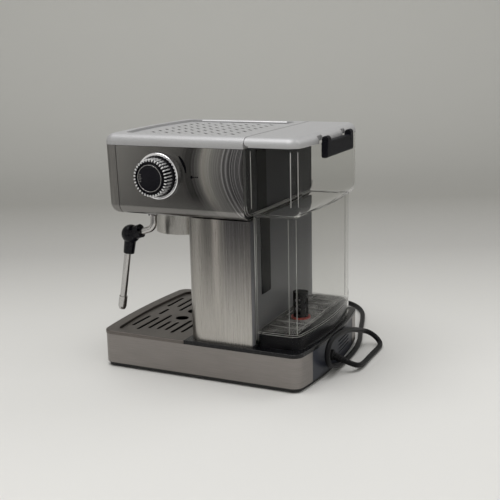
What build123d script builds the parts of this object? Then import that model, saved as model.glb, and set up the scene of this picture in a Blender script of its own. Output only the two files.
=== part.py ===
from build123d import *
import os
from math import atan, cos, degrees, pi, radians, sin, tan

os.makedirs("parts", exist_ok=True)

# ---------------------------------------------------------------- driving dimensions (mm)
# Origin: middle of the footprint, on the table. +X is the side with the steam knob,
# -Y is the front with the buttons, +Y is the rear with the water tank.
HALF_W = 109.0  # half width of base, head and lid
BASE_FRONT, BASE_FRONT_BOW = -142.0, -148.5
BASE_REAR, BASE_REAR_BOW = 138.0, 148.0
BASE_R_FRONT, BASE_R_REAR = 14.0, 14.0
Z_SKIRT, Z_BAND, Z_BAND_TOP, Z_DECK = 1.0, 6.0, 45.0, 50.0
SHEET = 0.8  # stainless sheet
DRAWER_HALF = 83.0  # half width of the drip tray's fascia
REAR_PANEL_HALF = 74.5

COL_HALF, COL_FRONT, COL_REAR, COL_R = 101.0, -19.0, 73.4, 22.0
Z_HEAD, Z_LID, Z_TOP = 208.5, 296.0, 310.0
HEAD_CORNER, HEAD_BOW, HEAD_REAR = -124.0, -131.0, 69.6
HEAD_R, HEAD_R_BOTTOM = 14.0, 13.0
HEAD_LEAN = 1.4  # degrees: the front leans forward towards the top
LID_R = 11.0
RECESS_HALF, RECESS_FRONT, RECESS_BOW, RECESS_REAR, Z_RECESS = 90.0, -104.0, -113.0, 57.0, 306.0

TANK_FRONT_UP, TANK_FRONT_LOW = 70.4, 74.2
TANK_SIDE_UP, TANK_BOW_UP = 137.5, 143.6
TANK_SIDE_LOW, TANK_BOW_LOW = 132.0, 141.5
TANK_HALF_LOW, TANK_WALL = 95.0, 2.2
Z_SKIRT_TANK, Z_FLOOR_TANK, Z_STEP, Z_RIM = 50.6, 66.6, 214.0, 298.0

KNOB_Y, KNOB_Z = -45.0, 260.0
GROUP_Y = -71.0
WAND_X, WAND_Y = 72.0, -78.0
WAND_PIPE_R = 4.4
VALVE_X, VALVE_Y = 20.0, 105.0
LID_PIVOT_Y, LID_PIVOT_Z = 77.0, 306.0
HANDLE_HALF, HANDLE_PIVOT_Y, HANDLE_PIVOT_Z = 47.0, 149.0, 303.0
BUTTON_X, BUTTON_Z, BUTTON_R = 38.0, 256.0, 10.0
PUMP_X, PUMP_Y = -50.0, 25.0
CORD_D = 7.0


def plan(half, front, front_bow, rear, rear_bow, r_front=0.0, r_rear=0.0):
    """Outline seen from above: straight sides, front and rear straight or bowed."""
    with BuildSketch() as outline:
        with BuildLine():
            if front_bow == front:
                Line((-half, front), (half, front))
            else:
                ThreePointArc((-half, front), (0, front_bow), (half, front))
            Line((half, front), (half, rear))
            if rear_bow == rear:
                Line((half, rear), (-half, rear))
            else:
                ThreePointArc((half, rear), (0, rear_bow), (-half, rear))
            Line((-half, rear), (-half, front))
        make_face()
        if r_front:
            fillet(outline.vertices().group_by(Axis.Y)[0], r_front)
        if r_rear:
            fillet(outline.vertices().group_by(Axis.Y)[-1], r_rear)
    return outline.sketch


def base_plan(inset):
    return plan(
        HALF_W - inset, BASE_FRONT + inset, BASE_FRONT_BOW + inset,
        BASE_REAR - inset, BASE_REAR_BOW - inset,
        BASE_R_FRONT - inset, BASE_R_REAR - inset,
    )


def head_plan(inset, z):
    lean = (Z_LID - z) * tan(radians(HEAD_LEAN))
    return plan(
        HALF_W - inset, HEAD_CORNER + inset + lean, HEAD_BOW + inset + lean,
        HEAD_REAR, HEAD_REAR, HEAD_R - inset, 0,
    )


def grid_plan(inset):
    return plan(97 - inset, -127 + inset, -133 + inset, -28 - inset, -28 - inset, 10 - inset, 8)


# ---------------------------------------------------------------- base
with BuildPart() as base_pan:
    with BuildSketch(Plane.XY.offset(Z_SKIRT)):
        add(base_plan(3.0))
        add(base_plan(9.0), mode=Mode.SUBTRACT)
    extrude(amount=2.2)
    with BuildSketch(Plane.XY.offset(3)):
        add(base_plan(3.0))
    extrude(amount=Z_BAND - 3)
    with BuildSketch(Plane.XY.offset(3)):
        add(base_plan(3.0))
        add(base_plan(4.5), mode=Mode.SUBTRACT)
    extrude(amount=Z_BAND - 3)
    with BuildSketch(Plane.XY.offset(5)):
        add(base_plan(1.4))
        add(base_plan(4.6), mode=Mode.SUBTRACT)
    extrude(amount=Z_BAND_TOP - 0.4 - 5)
    with BuildSketch(Plane.XY.offset(6)):
        with Locations((0, -20.8)):
            Rectangle(2 * 106, 2)
    extrude(amount=Z_BAND_TOP - 0.4 - 6)
    with BuildSketch(Plane.XY.offset(6)):
        with Locations((86.5, -76), (-86.5, -76)):
            Rectangle(2.4, 104)
    extrude(amount=22)
    # drawer opening in the front wall, rear panel opening
    with BuildSketch(Plane.XY.offset(6)):
        with Locations((0, -140)):
            Rectangle(2 * DRAWER_HALF + 0.8, 30)
    extrude(amount=50, mode=Mode.SUBTRACT)
    with BuildSketch(Plane.XY.offset(5)):
        with Locations((0, 150)):
            Rectangle(2 * REAR_PANEL_HALF, 20)
    extrude(amount=50, mode=Mode.SUBTRACT)
    with BuildSketch(Plane.XY.offset(-1)):
        with Locations((96, 30), (-96, 30), (96, 120), (-96, 120), (70, -6), (-70, -6)):
            Circle(1.8)
    extrude(amount=10, mode=Mode.SUBTRACT)
base_pan.part.label = "base_pan"

with BuildPart() as base_band:
    with BuildSketch(Plane.XY.offset(Z_BAND)):
        add(base_plan(0.5))
        add(base_plan(1.3), mode=Mode.SUBTRACT)
    extrude(amount=Z_BAND_TOP - Z_BAND)
    with BuildSketch(Plane.XY.offset(Z_BAND - 1)):
        with Locations((0, -140)):
            Rectangle(2 * DRAWER_HALF + 0.8, 30)
    extrude(amount=42.2 - Z_BAND + 1, mode=Mode.SUBTRACT)
    with BuildSketch(Plane.XY.offset(Z_BAND - 1)):
        with Locations((0, 150)):
            Rectangle(2 * REAR_PANEL_HALF, 40)
    extrude(amount=60, mode=Mode.SUBTRACT)
base_band.part.label = "base_band"

with BuildPart() as base_rear_panel:
    with BuildSketch(Plane.XY.offset(Z_BAND + 0.2)):
        add(base_plan(0.8))
        add(base_plan(3.0), mode=Mode.SUBTRACT)
        with Locations((0, 150)):
            Rectangle(2 * REAR_PANEL_HALF - 0.6, 40, mode=Mode.INTERSECT)
    extrude(amount=Z_BAND_TOP - 0.4 - Z_BAND)
    with BuildSketch(Plane.XZ.offset(-160)):
        with Locations((22, 24)):
            Circle(6.1)
    extrude(amount=40, mode=Mode.SUBTRACT)
    # louvres for air
    with BuildSketch(Plane.XZ.offset(-160)):
        with GridLocations(0, 5, 1, 4):
            with Locations((-30, 25)):
                SlotOverall(46, 2)
    extrude(amount=40, mode=Mode.SUBTRACT)
base_rear_panel.part.label = "base_rear_panel"

with BuildPart() as rubber_feet:
    with BuildSketch():
        with Locations((90, -118), (-90, -118), (88, 92), (-88, 92)):
            Circle(10)
    extrude(amount=3)
    fillet(rubber_feet.faces().group_by(Axis.Z)[0].edges(), 0.8)
rubber_feet.part.label = "rubber_feet"

with BuildPart() as base_top_frame:
    with BuildSketch(Plane.XY.offset(Z_BAND_TOP + 0.2)):
        add(base_plan(0))
        with Locations((0, -120)):
            Rectangle(300, 200, mode=Mode.INTERSECT)
    extrude(amount=4.6)
    fillet(base_top_frame.faces().sort_by(Axis.Z)[-1].edges().sort_by(Axis.Y)[:-1], 1.6)
    with BuildSketch(Plane.XY.offset(40)):
        add(grid_plan(0))
    extrude(amount=20, mode=Mode.SUBTRACT)
    with BuildSketch(Plane.XY.offset(43.6)):
        add(grid_plan(-3))
        add(grid_plan(4), mode=Mode.SUBTRACT)
    extrude(amount=1.8)
base_top_frame.part.label = "base_top_frame"

with BuildPart() as drip_grid:
    with BuildSketch(Plane.XY.offset(45.6)):
        add(grid_plan(0.6))
        # slots run across the machine, mirrored about its middle
        for y, x0, x1, w in (
            (-112, -13, 13, 4.4), (-105, 27, 82, 4.4), (-93, 12, 73, 4.4), (-80, 37, 72, 4.4),
            (-68, 37, 72, 4.4), (-55, 23, 79, 5.0), (-43, 12, 73, 4.4), (-120, 24, 70, 4.4),
        ):
            with Locations(((x0 + x1) / 2, y)):
                SlotOverall(x1 - x0, w, mode=Mode.SUBTRACT)
            if x0 > 0:
                with Locations((-(x0 + x1) / 2, y)):
                    SlotOverall(x1 - x0, w, mode=Mode.SUBTRACT)
        with Locations((17, -73), (-17, -73)):
            Circle(9, mode=Mode.SUBTRACT)
    extrude(amount=1.4)
drip_grid.part.label = "drip_grid"

with BuildPart() as drip_tray:
    with BuildSketch(Plane.XY.offset(8)):
        add(base_plan(1.6))
        with Locations((0, -93.5)):
            Rectangle(2 * (DRAWER_HALF - 0.6), 139, mode=Mode.INTERSECT)
    extrude(amount=33.6)
    with BuildSketch(Plane.XY.offset(10.4)):
        add(base_plan(4.0))
        with Locations((0, -94)):
            Rectangle(2 * (DRAWER_HALF - 3.0), 133, mode=Mode.INTERSECT)
    extrude(amount=40, mode=Mode.SUBTRACT)
drip_tray.part.label = "drip_tray"

with BuildPart() as tray_fascia:
    with BuildSketch(Plane.XY.offset(Z_BAND + 0.6)):
        add(base_plan(0.5))
        add(base_plan(1.5), mode=Mode.SUBTRACT)
        with Locations((0, -140)):
            Rectangle(2 * DRAWER_HALF, 30, mode=Mode.INTERSECT)
    extrude(amount=41.8 - Z_BAND - 0.6)
    # finger recess under the lower edge
    with BuildSketch(Plane.XZ.offset(130)):
        with Locations((0, 6)):
            SlotOverall(56, 12)
    extrude(amount=30, mode=Mode.SUBTRACT)
tray_fascia.part.label = "tray_fascia"

DECK_POSTS = ((96, 30), (-96, 30), (96, 120), (-96, 120), (70, -6), (-70, -6))
with BuildPart() as base_deck:
    with BuildSketch(Plane.XY.offset(Z_BAND_TOP + 0.2)):
        add(base_plan(0.3))
        with Locations((0, 80.6)):
            Rectangle(300, 200.4, mode=Mode.INTERSECT)
    extrude(amount=Z_DECK - Z_BAND_TOP - 0.2)
    fillet(base_deck.faces().sort_by(Axis.Z)[-1].edges().sort_by(Axis.Y)[1:], 1.6)
    with BuildSketch(Plane.XY.offset(6.2)):
        with Locations(*DECK_POSTS):
            Circle(4.2)
    extrude(amount=40)
    with BuildSketch(Plane.XY.offset(6)):
        with Locations(*DECK_POSTS):
            Circle(1.66)
    extrude(amount=14, mode=Mode.SUBTRACT)
    with BuildSketch(Plane.XY.offset(40)):
        with Locations((VALVE_X, VALVE_Y), (PUMP_X, PUMP_Y)):
            Circle(5.4)
        with Locations((60, 30)):
            Circle(8)
    extrude(amount=20, mode=Mode.SUBTRACT)
base_deck.part.label = "base_deck"

with BuildPart() as base_screws:
    with BuildSketch(Plane.XY.offset(1.6)):
        with Locations(*DECK_POSTS):
            Circle(3.4)
    extrude(amount=1.4)
    with BuildSketch(Plane.XY.offset(1.6)):
        with Locations(*DECK_POSTS):
            Circle(1.6)
    extrude(amount=16)
    with BuildSketch(Plane.XY.offset(1.6)):
        with Locations(*DECK_POSTS):
            Rectangle(3.6, 0.8)
            Rectangle(0.8, 3.6)
    extrude(amount=0.8, mode=Mode.SUBTRACT)
base_screws.part.label = "base_screws"

# ---------------------------------------------------------------- column
with BuildPart() as column_shell:
    with BuildSketch(Plane.XY.offset(Z_DECK + 0.1)):
        add(plan(COL_HALF, COL_FRONT, COL_FRONT, COL_REAR, COL_REAR, COL_R, 0))
        add(plan(COL_HALF - SHEET, COL_FRONT + SHEET, COL_FRONT + SHEET, COL_REAR + 1, COL_REAR + 1, COL_R - SHEET, 0), mode=Mode.SUBTRACT)
    extrude(amount=Z_HEAD - 0.3 - Z_DECK - 0.1)
column_shell.part.label = "column_shell"

with BuildPart() as column_back_panel:
    with Locations((0, 71.6, (Z_DECK + Z_HEAD) / 2 - 0.1)):
        Box(2 * (COL_HALF - SHEET - 0.2), 2, Z_HEAD - Z_DECK - 0.6)
    with Locations((92, 68, 130), (-92, 68, 130)):
        Box(6, 6, 140)
    with BuildSketch(Plane.XZ.offset(-74)):
        with GridLocations(160, 120, 2, 2):
            with Locations((0, 130)):
                Circle(1.7)
    extrude(amount=6, mode=Mode.SUBTRACT)
column_back_panel.part.label = "column_back_panel"

with BuildPart() as rear_duct_cover:
    with Locations((56.5, 73.1, 159)):
        Box(27, 0.8, 98)
    with Locations((56.5, 69.4, 253)):
        Box(27, 0.8, 84)
rear_duct_cover.part.label = "rear_duct_cover"

# ---------------------------------------------------------------- head
seam_up, seam_down = (-106.0, 294.0), (-104.0, 215.0)
seam_tilt = degrees(atan((seam_down[0] - seam_up[0]) / (seam_up[1] - seam_down[1])))
SEAM = Plane(origin=(0, seam_up[0], seam_up[1]), x_dir=(1, 0, 0), z_dir=(0, -cos(radians(seam_tilt)), -sin(radians(seam_tilt))))


def head_solid(inset, z_low, r_bottom):
    """Leaning, bowed block with rounded lower edges, open rear face square."""
    with BuildPart() as block:
        with BuildSketch(Plane.XY.offset(z_low)):
            add(head_plan(inset, z_low))
        with BuildSketch(Plane.XY.offset(Z_LID + (0 if inset == 0 else 2))):
            add(head_plan(inset, Z_LID))
        loft(ruled=True)
        fillet(block.faces().sort_by(Axis.Z)[0].edges().sort_by(Axis.Y)[:-1], r_bottom)
    return block.part


head_outer = head_solid(0, Z_HEAD, HEAD_R_BOTTOM)
head_inner = head_solid(1.2, Z_HEAD + 1.2, HEAD_R_BOTTOM - 1.2)
panel_inner = head_solid(2.4, Z_HEAD + 2.4, HEAD_R_BOTTOM - 2.4)

with BuildPart() as head_shell:
    add(head_outer)
    add(head_inner, mode=Mode.SUBTRACT)
    with BuildSketch(Plane.XY.offset(200)):
        with Locations((0, -20)):
            RectangleRounded(2 * 88, 156, 8)
        with Locations((0, GROUP_Y)):
            Circle(38.9)
    extrude(amount=14, mode=Mode.SUBTRACT)
    with BuildSketch(Plane.YZ.offset(100)):
        with Locations((KNOB_Y, KNOB_Z)):
            Circle(20)
    extrude(amount=20, mode=Mode.SUBTRACT)
    split(bisect_by=SEAM, keep=Keep.BOTTOM)
head_shell.part.label = "head_shell"

with BuildPart() as front_panel:
    add(head_outer)
    add(panel_inner, mode=Mode.SUBTRACT)
    with BuildSketch(Plane.XZ.offset(100)):
        with Locations((-BUTTON_X, BUTTON_Z), (0, BUTTON_Z), (BUTTON_X, BUTTON_Z)):
            Circle(BUTTON_R + 0.3)
    extrude(amount=60, mode=Mode.SUBTRACT)
    with BuildSketch(Plane.XY.offset(200)):
        with Locations((0, GROUP_Y)):
            Circle(38.9)
    extrude(amount=14, mode=Mode.SUBTRACT)
    split(bisect_by=SEAM.offset(0.8), keep=Keep.TOP)
front_panel.part.label = "front_panel"

with BuildPart() as head_bottom_cover:
    with BuildSketch(Plane.XY.offset(Z_HEAD + 0.2)):
        with Locations((0, -20)):
            RectangleRounded(2 * 87.7, 155.4, 7.7)
        with Locations((0, GROUP_Y)):
            Circle(38.9, mode=Mode.SUBTRACT)
        with Locations((WAND_X, WAND_Y)):
            Circle(WAND_PIPE_R + 0.8, mode=Mode.SUBTRACT)
        with Locations((0, 30)):
            RectangleRounded(130, 50, 6, mode=Mode.SUBTRACT)
    extrude(amount=2)
head_bottom_cover.part.label = "head_bottom_cover"

with BuildPart() as head_back_panel:
    with BuildSketch(Plane.XZ.offset(-68.9)):
        with Locations((0, 253.2)):
            RectangleRounded(2 * 107.4, 84, 13)
    extrude(amount=2)
head_back_panel.part.label = "head_back_panel"

with BuildPart() as head_lid:
    with BuildSketch(Plane.XY.offset(Z_LID + 0.3)):
        add(plan(HALF_W, HEAD_CORNER - 0.3, HEAD_BOW - 0.3, 70.3, 70.3, HEAD_R, 0))
    extrude(amount=Z_TOP - Z_LID - 0.3)
    fillet(head_lid.faces().sort_by(Axis.Z)[-1].edges().sort_by(Axis.Y)[:-1], LID_R)
    with BuildSketch(Plane.XY.offset(Z_RECESS)):
        add(plan(RECESS_HALF, RECESS_FRONT, RECESS_BOW, RECESS_REAR, RECESS_REAR, 12, 12))
    extrude(amount=10, mode=Mode.SUBTRACT)
    with BuildSketch(Plane.XY.offset(Z_LID)):
        add(plan(HALF_W - 3, HEAD_CORNER + 2.7, HEAD_BOW + 2.7, 67.4, 67.4, HEAD_R - 3, 0))
    extrude(amount=3.4, mode=Mode.SUBTRACT)
    with BuildSketch(Plane.XY.offset(Z_LID)):
        add(plan(HALF_W - 9, HEAD_CORNER + 9, HEAD_BOW + 9, 66, 66, HEAD_R - 6, 0))
    extrude(amount=7.4, mode=Mode.SUBTRACT)
head_lid.part.label = "head_lid"

with BuildPart() as cup_warmer_plate:
    with BuildSketch(Plane.XY.offset(Z_RECESS)):
        add(plan(RECESS_HALF - 0.5, RECESS_FRONT + 0.5, RECESS_BOW + 0.5, RECESS_REAR - 0.5, RECESS_REAR - 0.5, 11.5, 11.5))
        with Locations((0, -28)):
            with GridLocations(17, 19, 9, 7):
                SlotOverall(13, 3.2, rotation=45, mode=Mode.SUBTRACT)
    extrude(amount=1.0)
cup_warmer_plate.part.label = "cup_warmer_plate"

# ---------------------------------------------------------------- group
with BuildPart() as group_shroud:
    with BuildSketch(Plane.XY.offset(170)):
        with Locations((0, GROUP_Y)):
            Circle(40)
            Circle(38.8, mode=Mode.SUBTRACT)
    extrude(amount=Z_HEAD - 0.2 - 170)
group_shroud.part.label = "group_shroud"

with BuildPart() as group_head:
    with BuildSketch(Plane.XY.offset(174)):
        with Locations((0, GROUP_Y)):
            Circle(38.4)
    extrude(amount=37)
    with BuildSketch(Plane.XY.offset(211)):
        with Locations((0, GROUP_Y)):
            Circle(40)
    extrude(amount=8)
    with BuildSketch(Plane.XY.offset(170)):
        with Locations((0, GROUP_Y)):
            Circle(30)
    extrude(amount=28.8, mode=Mode.SUBTRACT)
    # wider recess that holds the gasket
    with BuildSketch(Plane.XY.offset(198.8)):
        with Locations((0, GROUP_Y)):
            Circle(30.8)
    extrude(amount=6.2, mode=Mode.SUBTRACT)
    # bayonet groove and the ramps' entry slots
    with BuildSketch(Plane.XY.offset(181)):
        with Locations((0, GROUP_Y)):
            Circle(35.5)
    extrude(amount=7, mode=Mode.SUBTRACT)
    with BuildSketch(Plane.XY.offset(170)):
        with Locations((0, GROUP_Y)):
            with PolarLocations(31, 3, start_angle=90):
                Rectangle(9, 20)
    extrude(amount=14, mode=Mode.SUBTRACT)
    with BuildSketch(Plane.XY.offset(200)):
        with Locations((0, GROUP_Y)):
            Circle(2.6)
    extrude(amount=30, mode=Mode.SUBTRACT)
group_head.part.label = "group_head"

with BuildPart() as group_gasket:
    with BuildSketch(Plane.XY.offset(199.2)):
        with Locations((0, GROUP_Y)):
            Circle(30.6)
            Circle(24.2, mode=Mode.SUBTRACT)
    extrude(amount=5.8)
group_gasket.part.label = "group_gasket"

with BuildPart() as shower_screen:
    with BuildSketch(Plane.XY.offset(201)):
        with Locations((0, GROUP_Y)):
            Circle(24)
            Circle(2.6, mode=Mode.SUBTRACT)
            for ring, count in ((7, 8), (12, 14), (17, 20)):
                with PolarLocations(ring, count):
                    Circle(0.9, mode=Mode.SUBTRACT)
    extrude(amount=1.0)
shower_screen.part.label = "shower_screen"

with BuildPart() as shower_screw:
    with BuildSketch(Plane.XY.offset(199.4)):
        with Locations((0, GROUP_Y)):
            Circle(4.5)
    extrude(amount=1.6)
    with BuildSketch(Plane.XY.offset(200)):
        with Locations((0, GROUP_Y)):
            Circle(2.5)
    extrude(amount=13)
    with BuildSketch(Plane.XY.offset(199.4)):
        with Locations((0, GROUP_Y)):
            Rectangle(7, 1.2)
    extrude(amount=0.9, mode=Mode.SUBTRACT)
shower_screw.part.label = "shower_screw"

# ---------------------------------------------------------------- boiler
BOILER_BOLTS = 34.0
with BuildPart() as boiler_lower:
    with BuildSketch(Plane.XY.offset(219.2)):
        with Locations((0, GROUP_Y)):
            Circle(29)
    extrude(amount=22)
    with BuildSketch(Plane.XY.offset(237)):
        with Locations((0, GROUP_Y)):
            Circle(39)
            with PolarLocations(BOILER_BOLTS, 4, start_angle=45):
                Circle(2.1, mode=Mode.SUBTRACT)
    extrude(amount=5)
    with BuildSketch(Plane.XY.offset(223)):
        with Locations((0, GROUP_Y)):
            Circle(25)
    extrude(amount=30, mode=Mode.SUBTRACT)
boiler_lower.part.label = "boiler_lower"

with BuildPart() as boiler_seal:
    with BuildSketch(Plane.XY.offset(242)):
        with Locations((0, GROUP_Y)):
            Circle(29)
            Circle(25, mode=Mode.SUBTRACT)
    extrude(amount=2)
boiler_seal.part.label = "boiler_seal"

with BuildPart() as boiler_upper:
    with BuildSketch(Plane.XY.offset(244)):
        with Locations((0, GROUP_Y)):
            Circle(39)
            with PolarLocations(BOILER_BOLTS, 4, start_angle=45):
                Circle(2.1, mode=Mode.SUBTRACT)
    extrude(amount=5)
    with BuildSketch(Plane.XY.offset(249)):
        with Locations((0, GROUP_Y)):
            Circle(29)
    extrude(amount=22)
    with BuildSketch(Plane.XY.offset(243)):
        with Locations((0, GROUP_Y)):
            Circle(25)
    extrude(amount=24, mode=Mode.SUBTRACT)
    with BuildSketch(Plane.YZ.offset(20)):
        with Locations((GROUP_Y, KNOB_Z)):
            Circle(4)
    extrude(amount=14)
    with BuildSketch(Plane.YZ.offset(-34)):
        with Locations((GROUP_Y, KNOB_Z)):
            Circle(4)
    extrude(amount=14)
    with BuildSketch(Plane.YZ.offset(-40)):
        with Locations((GROUP_Y, KNOB_Z)):
            Circle(1.6)
    extrude(amount=80, mode=Mode.SUBTRACT)
boiler_upper.part.label = "boiler_upper"

with BuildPart() as boiler_bolts:
    with BuildSketch(Plane.XY.offset(249.1)):
        with Locations((0, GROUP_Y)):
            with PolarLocations(BOILER_BOLTS, 4, start_angle=45):
                RegularPolygon(3.6, 6)
    extrude(amount=3)
    with BuildSketch(Plane.XY.offset(232)):
        with Locations((0, GROUP_Y)):
            with PolarLocations(BOILER_BOLTS, 4, start_angle=45):
                Circle(2.0)
    extrude(amount=18)
boiler_bolts.part.label = "boiler_bolts"

with BuildPart() as thermostats:
    with BuildSketch(Plane.XY.offset(271.1)):
        with Locations((-12, GROUP_Y), (12, GROUP_Y)):
            Circle(7.5)
    extrude(amount=6)
    with BuildSketch(Plane.XY.offset(277)):
        with Locations((-16, GROUP_Y), (-8, GROUP_Y), (8, GROUP_Y), (16, GROUP_Y)):
            Rectangle(0.8, 6)
    extrude(amount=6)
thermostats.part.label = "thermostats"

# ---------------------------------------------------------------- steam valve and knob
with BuildPart() as steam_valve:
    with Locations((71, KNOB_Y, KNOB_Z)):
        Box(20, 22, 22)
    with BuildSketch(Plane.YZ.offset(81)):
        with Locations((KNOB_Y, KNOB_Z)):
            Circle(8)
    extrude(amount=20)
    with BuildSketch(Plane.YZ.offset(70)):
        with Locations((KNOB_Y, KNOB_Z)):
            Circle(3.05)
    extrude(amount=40, mode=Mode.SUBTRACT)
steam_valve.part.label = "steam_valve"

with BuildPart() as valve_stem:
    with BuildSketch(Plane.YZ.offset(73)):
        with Locations((KNOB_Y, KNOB_Z)):
            Circle(3)
    extrude(amount=45)
valve_stem.part.label = "valve_stem"

with BuildPart() as knob_bezel:
    with BuildSketch(Plane.YZ.offset(HALF_W + 0.05)):
        with Locations((KNOB_Y, KNOB_Z)):
            Circle(29)
            Circle(24.6, mode=Mode.SUBTRACT)
    extrude(amount=5)
    fillet(knob_bezel.faces().sort_by(Axis.X)[-1].edges(), 1.6)
knob_bezel.part.label = "knob_bezel"

RIBS = 30
with BuildPart() as steam_knob:
    with BuildSketch(Plane.YZ.offset(HALF_W + 0.6)):
        with Locations((KNOB_Y, KNOB_Z)):
            Circle(24.0)
    extrude(amount=5, taper=4)
    with BuildSketch(Plane.YZ.offset(HALF_W + 5.6)):
        with Locations((KNOB_Y, KNOB_Z)):
            Circle(22.2)
    extrude(amount=16)
    with BuildSketch(Plane.YZ.offset(HALF_W + 20)):
        with Locations((KNOB_Y, KNOB_Z)):
            Circle(18.6)
    extrude(amount=5, mode=Mode.SUBTRACT)
    with BuildSketch(Plane.YZ.offset(HALF_W + 19.5)):
        with Locations((KNOB_Y, KNOB_Z)):
            Circle(17.6)
    extrude(amount=3.4)
    fillet(steam_knob.faces().sort_by(Axis.X)[-1].edges(), 1.4)
    with BuildSketch(Plane.YZ.offset(HALF_W)):
        with Locations((KNOB_Y, KNOB_Z)):
            Circle(3.0)
    extrude(amount=9, mode=Mode.SUBTRACT)
steam_knob.part.label = "steam_knob"

with BuildPart() as knob_ribs:
    with BuildSketch(Plane.YZ.offset(HALF_W + 6.2)):
        with Locations((KNOB_Y, KNOB_Z)):
            Circle(22.9)
            Circle(22.3, mode=Mode.SUBTRACT)
            with PolarLocations(23.0, RIBS):
                Rectangle(1.4, 2.2)
        with Locations((KNOB_Y, KNOB_Z)):
            Circle(22.3, mode=Mode.SUBTRACT)
    extrude(amount=16)
knob_ribs.part.label = "knob_ribs"

# ---------------------------------------------------------------- steam wand
WAND_ROUTE = [(WAND_X, WAND_Y, 226), (WAND_X, WAND_Y, 185), (WAND_X, -116, 172.5), (WAND_X, -133.5, 74)]
GRIP = (WAND_X, -114.0, 174.5)
with BuildPart() as wand_tube:
    with BuildLine():
        FilletPolyline(*WAND_ROUTE, radius=[11, 9])
    with BuildSketch(Plane(origin=WAND_ROUTE[0], z_dir=(0, 0, -1))):
        Circle(WAND_PIPE_R)
    sweep()
wand_tube.part.label = "wand_tube"

wand_dir = (Vector(*WAND_ROUTE[3]) - Vector(*WAND_ROUTE[2])).normalized()
wand_in = (Vector(*WAND_ROUTE[2]) - Vector(*WAND_ROUTE[1])).normalized()
with BuildPart() as wand_grip:
    with Locations(GRIP):
        Sphere(12.5)
    with BuildSketch(Plane(origin=Vector(*GRIP) - wand_in * 17, z_dir=wand_in)):
        Circle(9)
    extrude(amount=10)
    with BuildSketch(Plane(origin=Vector(*GRIP), z_dir=wand_dir)):
        Circle(8.2)
    extrude(amount=26, taper=2)
    add(wand_tube.part, mode=Mode.SUBTRACT)
wand_grip.part.label = "wand_grip"

with BuildPart() as wand_tip:
    with BuildSketch(Plane(origin=Vector(*WAND_ROUTE[3]) - wand_dir * 14, z_dir=wand_dir)):
        Circle(5.6)
        Circle(WAND_PIPE_R, mode=Mode.SUBTRACT)
    extrude(amount=14)
    with BuildSketch(Plane(origin=Vector(*WAND_ROUTE[3]), z_dir=wand_dir)):
        Circle(5.6)
        with Locations((1.6, 0), (-1.6, 0)):
            Circle(0.7, mode=Mode.SUBTRACT)
    extrude(amount=4, taper=18)
wand_tip.part.label = "wand_tip"

with BuildPart() as wand_nut:
    with BuildSketch(Plane.XY.offset(202.5)):
        with Locations((WAND_X, WAND_Y)):
            Circle(9.5)
            Circle(WAND_PIPE_R + 0.06, mode=Mode.SUBTRACT)
    extrude(amount=5.9)
    chamfer(wand_nut.faces().sort_by(Axis.Z)[0].edges().sort_by(SortBy.LENGTH)[-1:], 1.6)
wand_nut.part.label = "wand_nut"

with BuildPart() as wand_coupling:
    with BuildSketch(Plane.XY.offset(211)):
        with Locations((WAND_X, WAND_Y)):
            Circle(8.5)
    extrude(amount=19)
    with BuildSketch(Plane.XY.offset(210)):
        with Locations((WAND_X, WAND_Y)):
            Circle(WAND_PIPE_R + 0.06)
    extrude(amount=16.2, mode=Mode.SUBTRACT)
wand_coupling.part.label = "wand_coupling"

# ---------------------------------------------------------------- pump and hoses
with BuildPart() as pump_mounts:
    with BuildSketch(Plane.XY.offset(Z_DECK + 0.1)):
        with Locations((PUMP_X - 24, PUMP_Y), (PUMP_X + 24, PUMP_Y)):
            Circle(8)
    extrude(amount=11.9)
pump_mounts.part.label = "pump_mounts"

with BuildPart() as pump:
    with BuildSketch(Plane.XY.offset(64)):
        with Locations((PUMP_X, PUMP_Y)):
            Circle(16)
    extrude(amount=100)
    with Locations((PUMP_X, PUMP_Y, 112)):
        Box(46, 40, 48)
    with BuildSketch(Plane.XY.offset(63.8)):
        with Locations((PUMP_X, PUMP_Y)):
            Circle(20)
    extrude(amount=4)
    with BuildSketch(Plane.XY.offset(62.1)):
        with Locations((PUMP_X, PUMP_Y)):
            RectangleRounded(68, 34, 6)
    extrude(amount=1.8)
pump.part.label = "pump"


def tube(route, r, radii):
    with BuildPart() as made:
        with BuildLine():
            FilletPolyline(*route, radius=radii)
        with BuildSketch(Plane(origin=route[0], z_dir=Vector(*route[1]) - Vector(*route[0]))):
            Circle(r)
        sweep()
    return made.part


with BuildPart() as inlet_hose:
    add(tube([(VALVE_X, VALVE_Y, 49.8), (VALVE_X, VALVE_Y, 25), (PUMP_X, PUMP_Y, 25), (PUMP_X, PUMP_Y, 62.0)], 4.5, [12, 12]))
inlet_hose.part.label = "inlet_hose"

with BuildPart() as pressure_hose:
    add(tube([(PUMP_X, PUMP_Y, 164.1), (PUMP_X, PUMP_Y, 260), (PUMP_X, GROUP_Y, 260), (-34.1, GROUP_Y, 260)], 2.6, [16, 10]))
pressure_hose.part.label = "pressure_hose"

with BuildPart() as steam_pipes:
    add(tube([(34.1, GROUP_Y, 260), (47, GROUP_Y, 260), (47, KNOB_Y, 260), (60.9, KNOB_Y, 260)], 2.6, [8, 8]))
    add(tube([(WAND_X, KNOB_Y, 248.9), (WAND_X, KNOB_Y, 239), (WAND_X, WAND_Y, 239), (WAND_X, WAND_Y, 230.1)], 2.6, [6, 6]))
steam_pipes.part.label = "steam_pipes"

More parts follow.
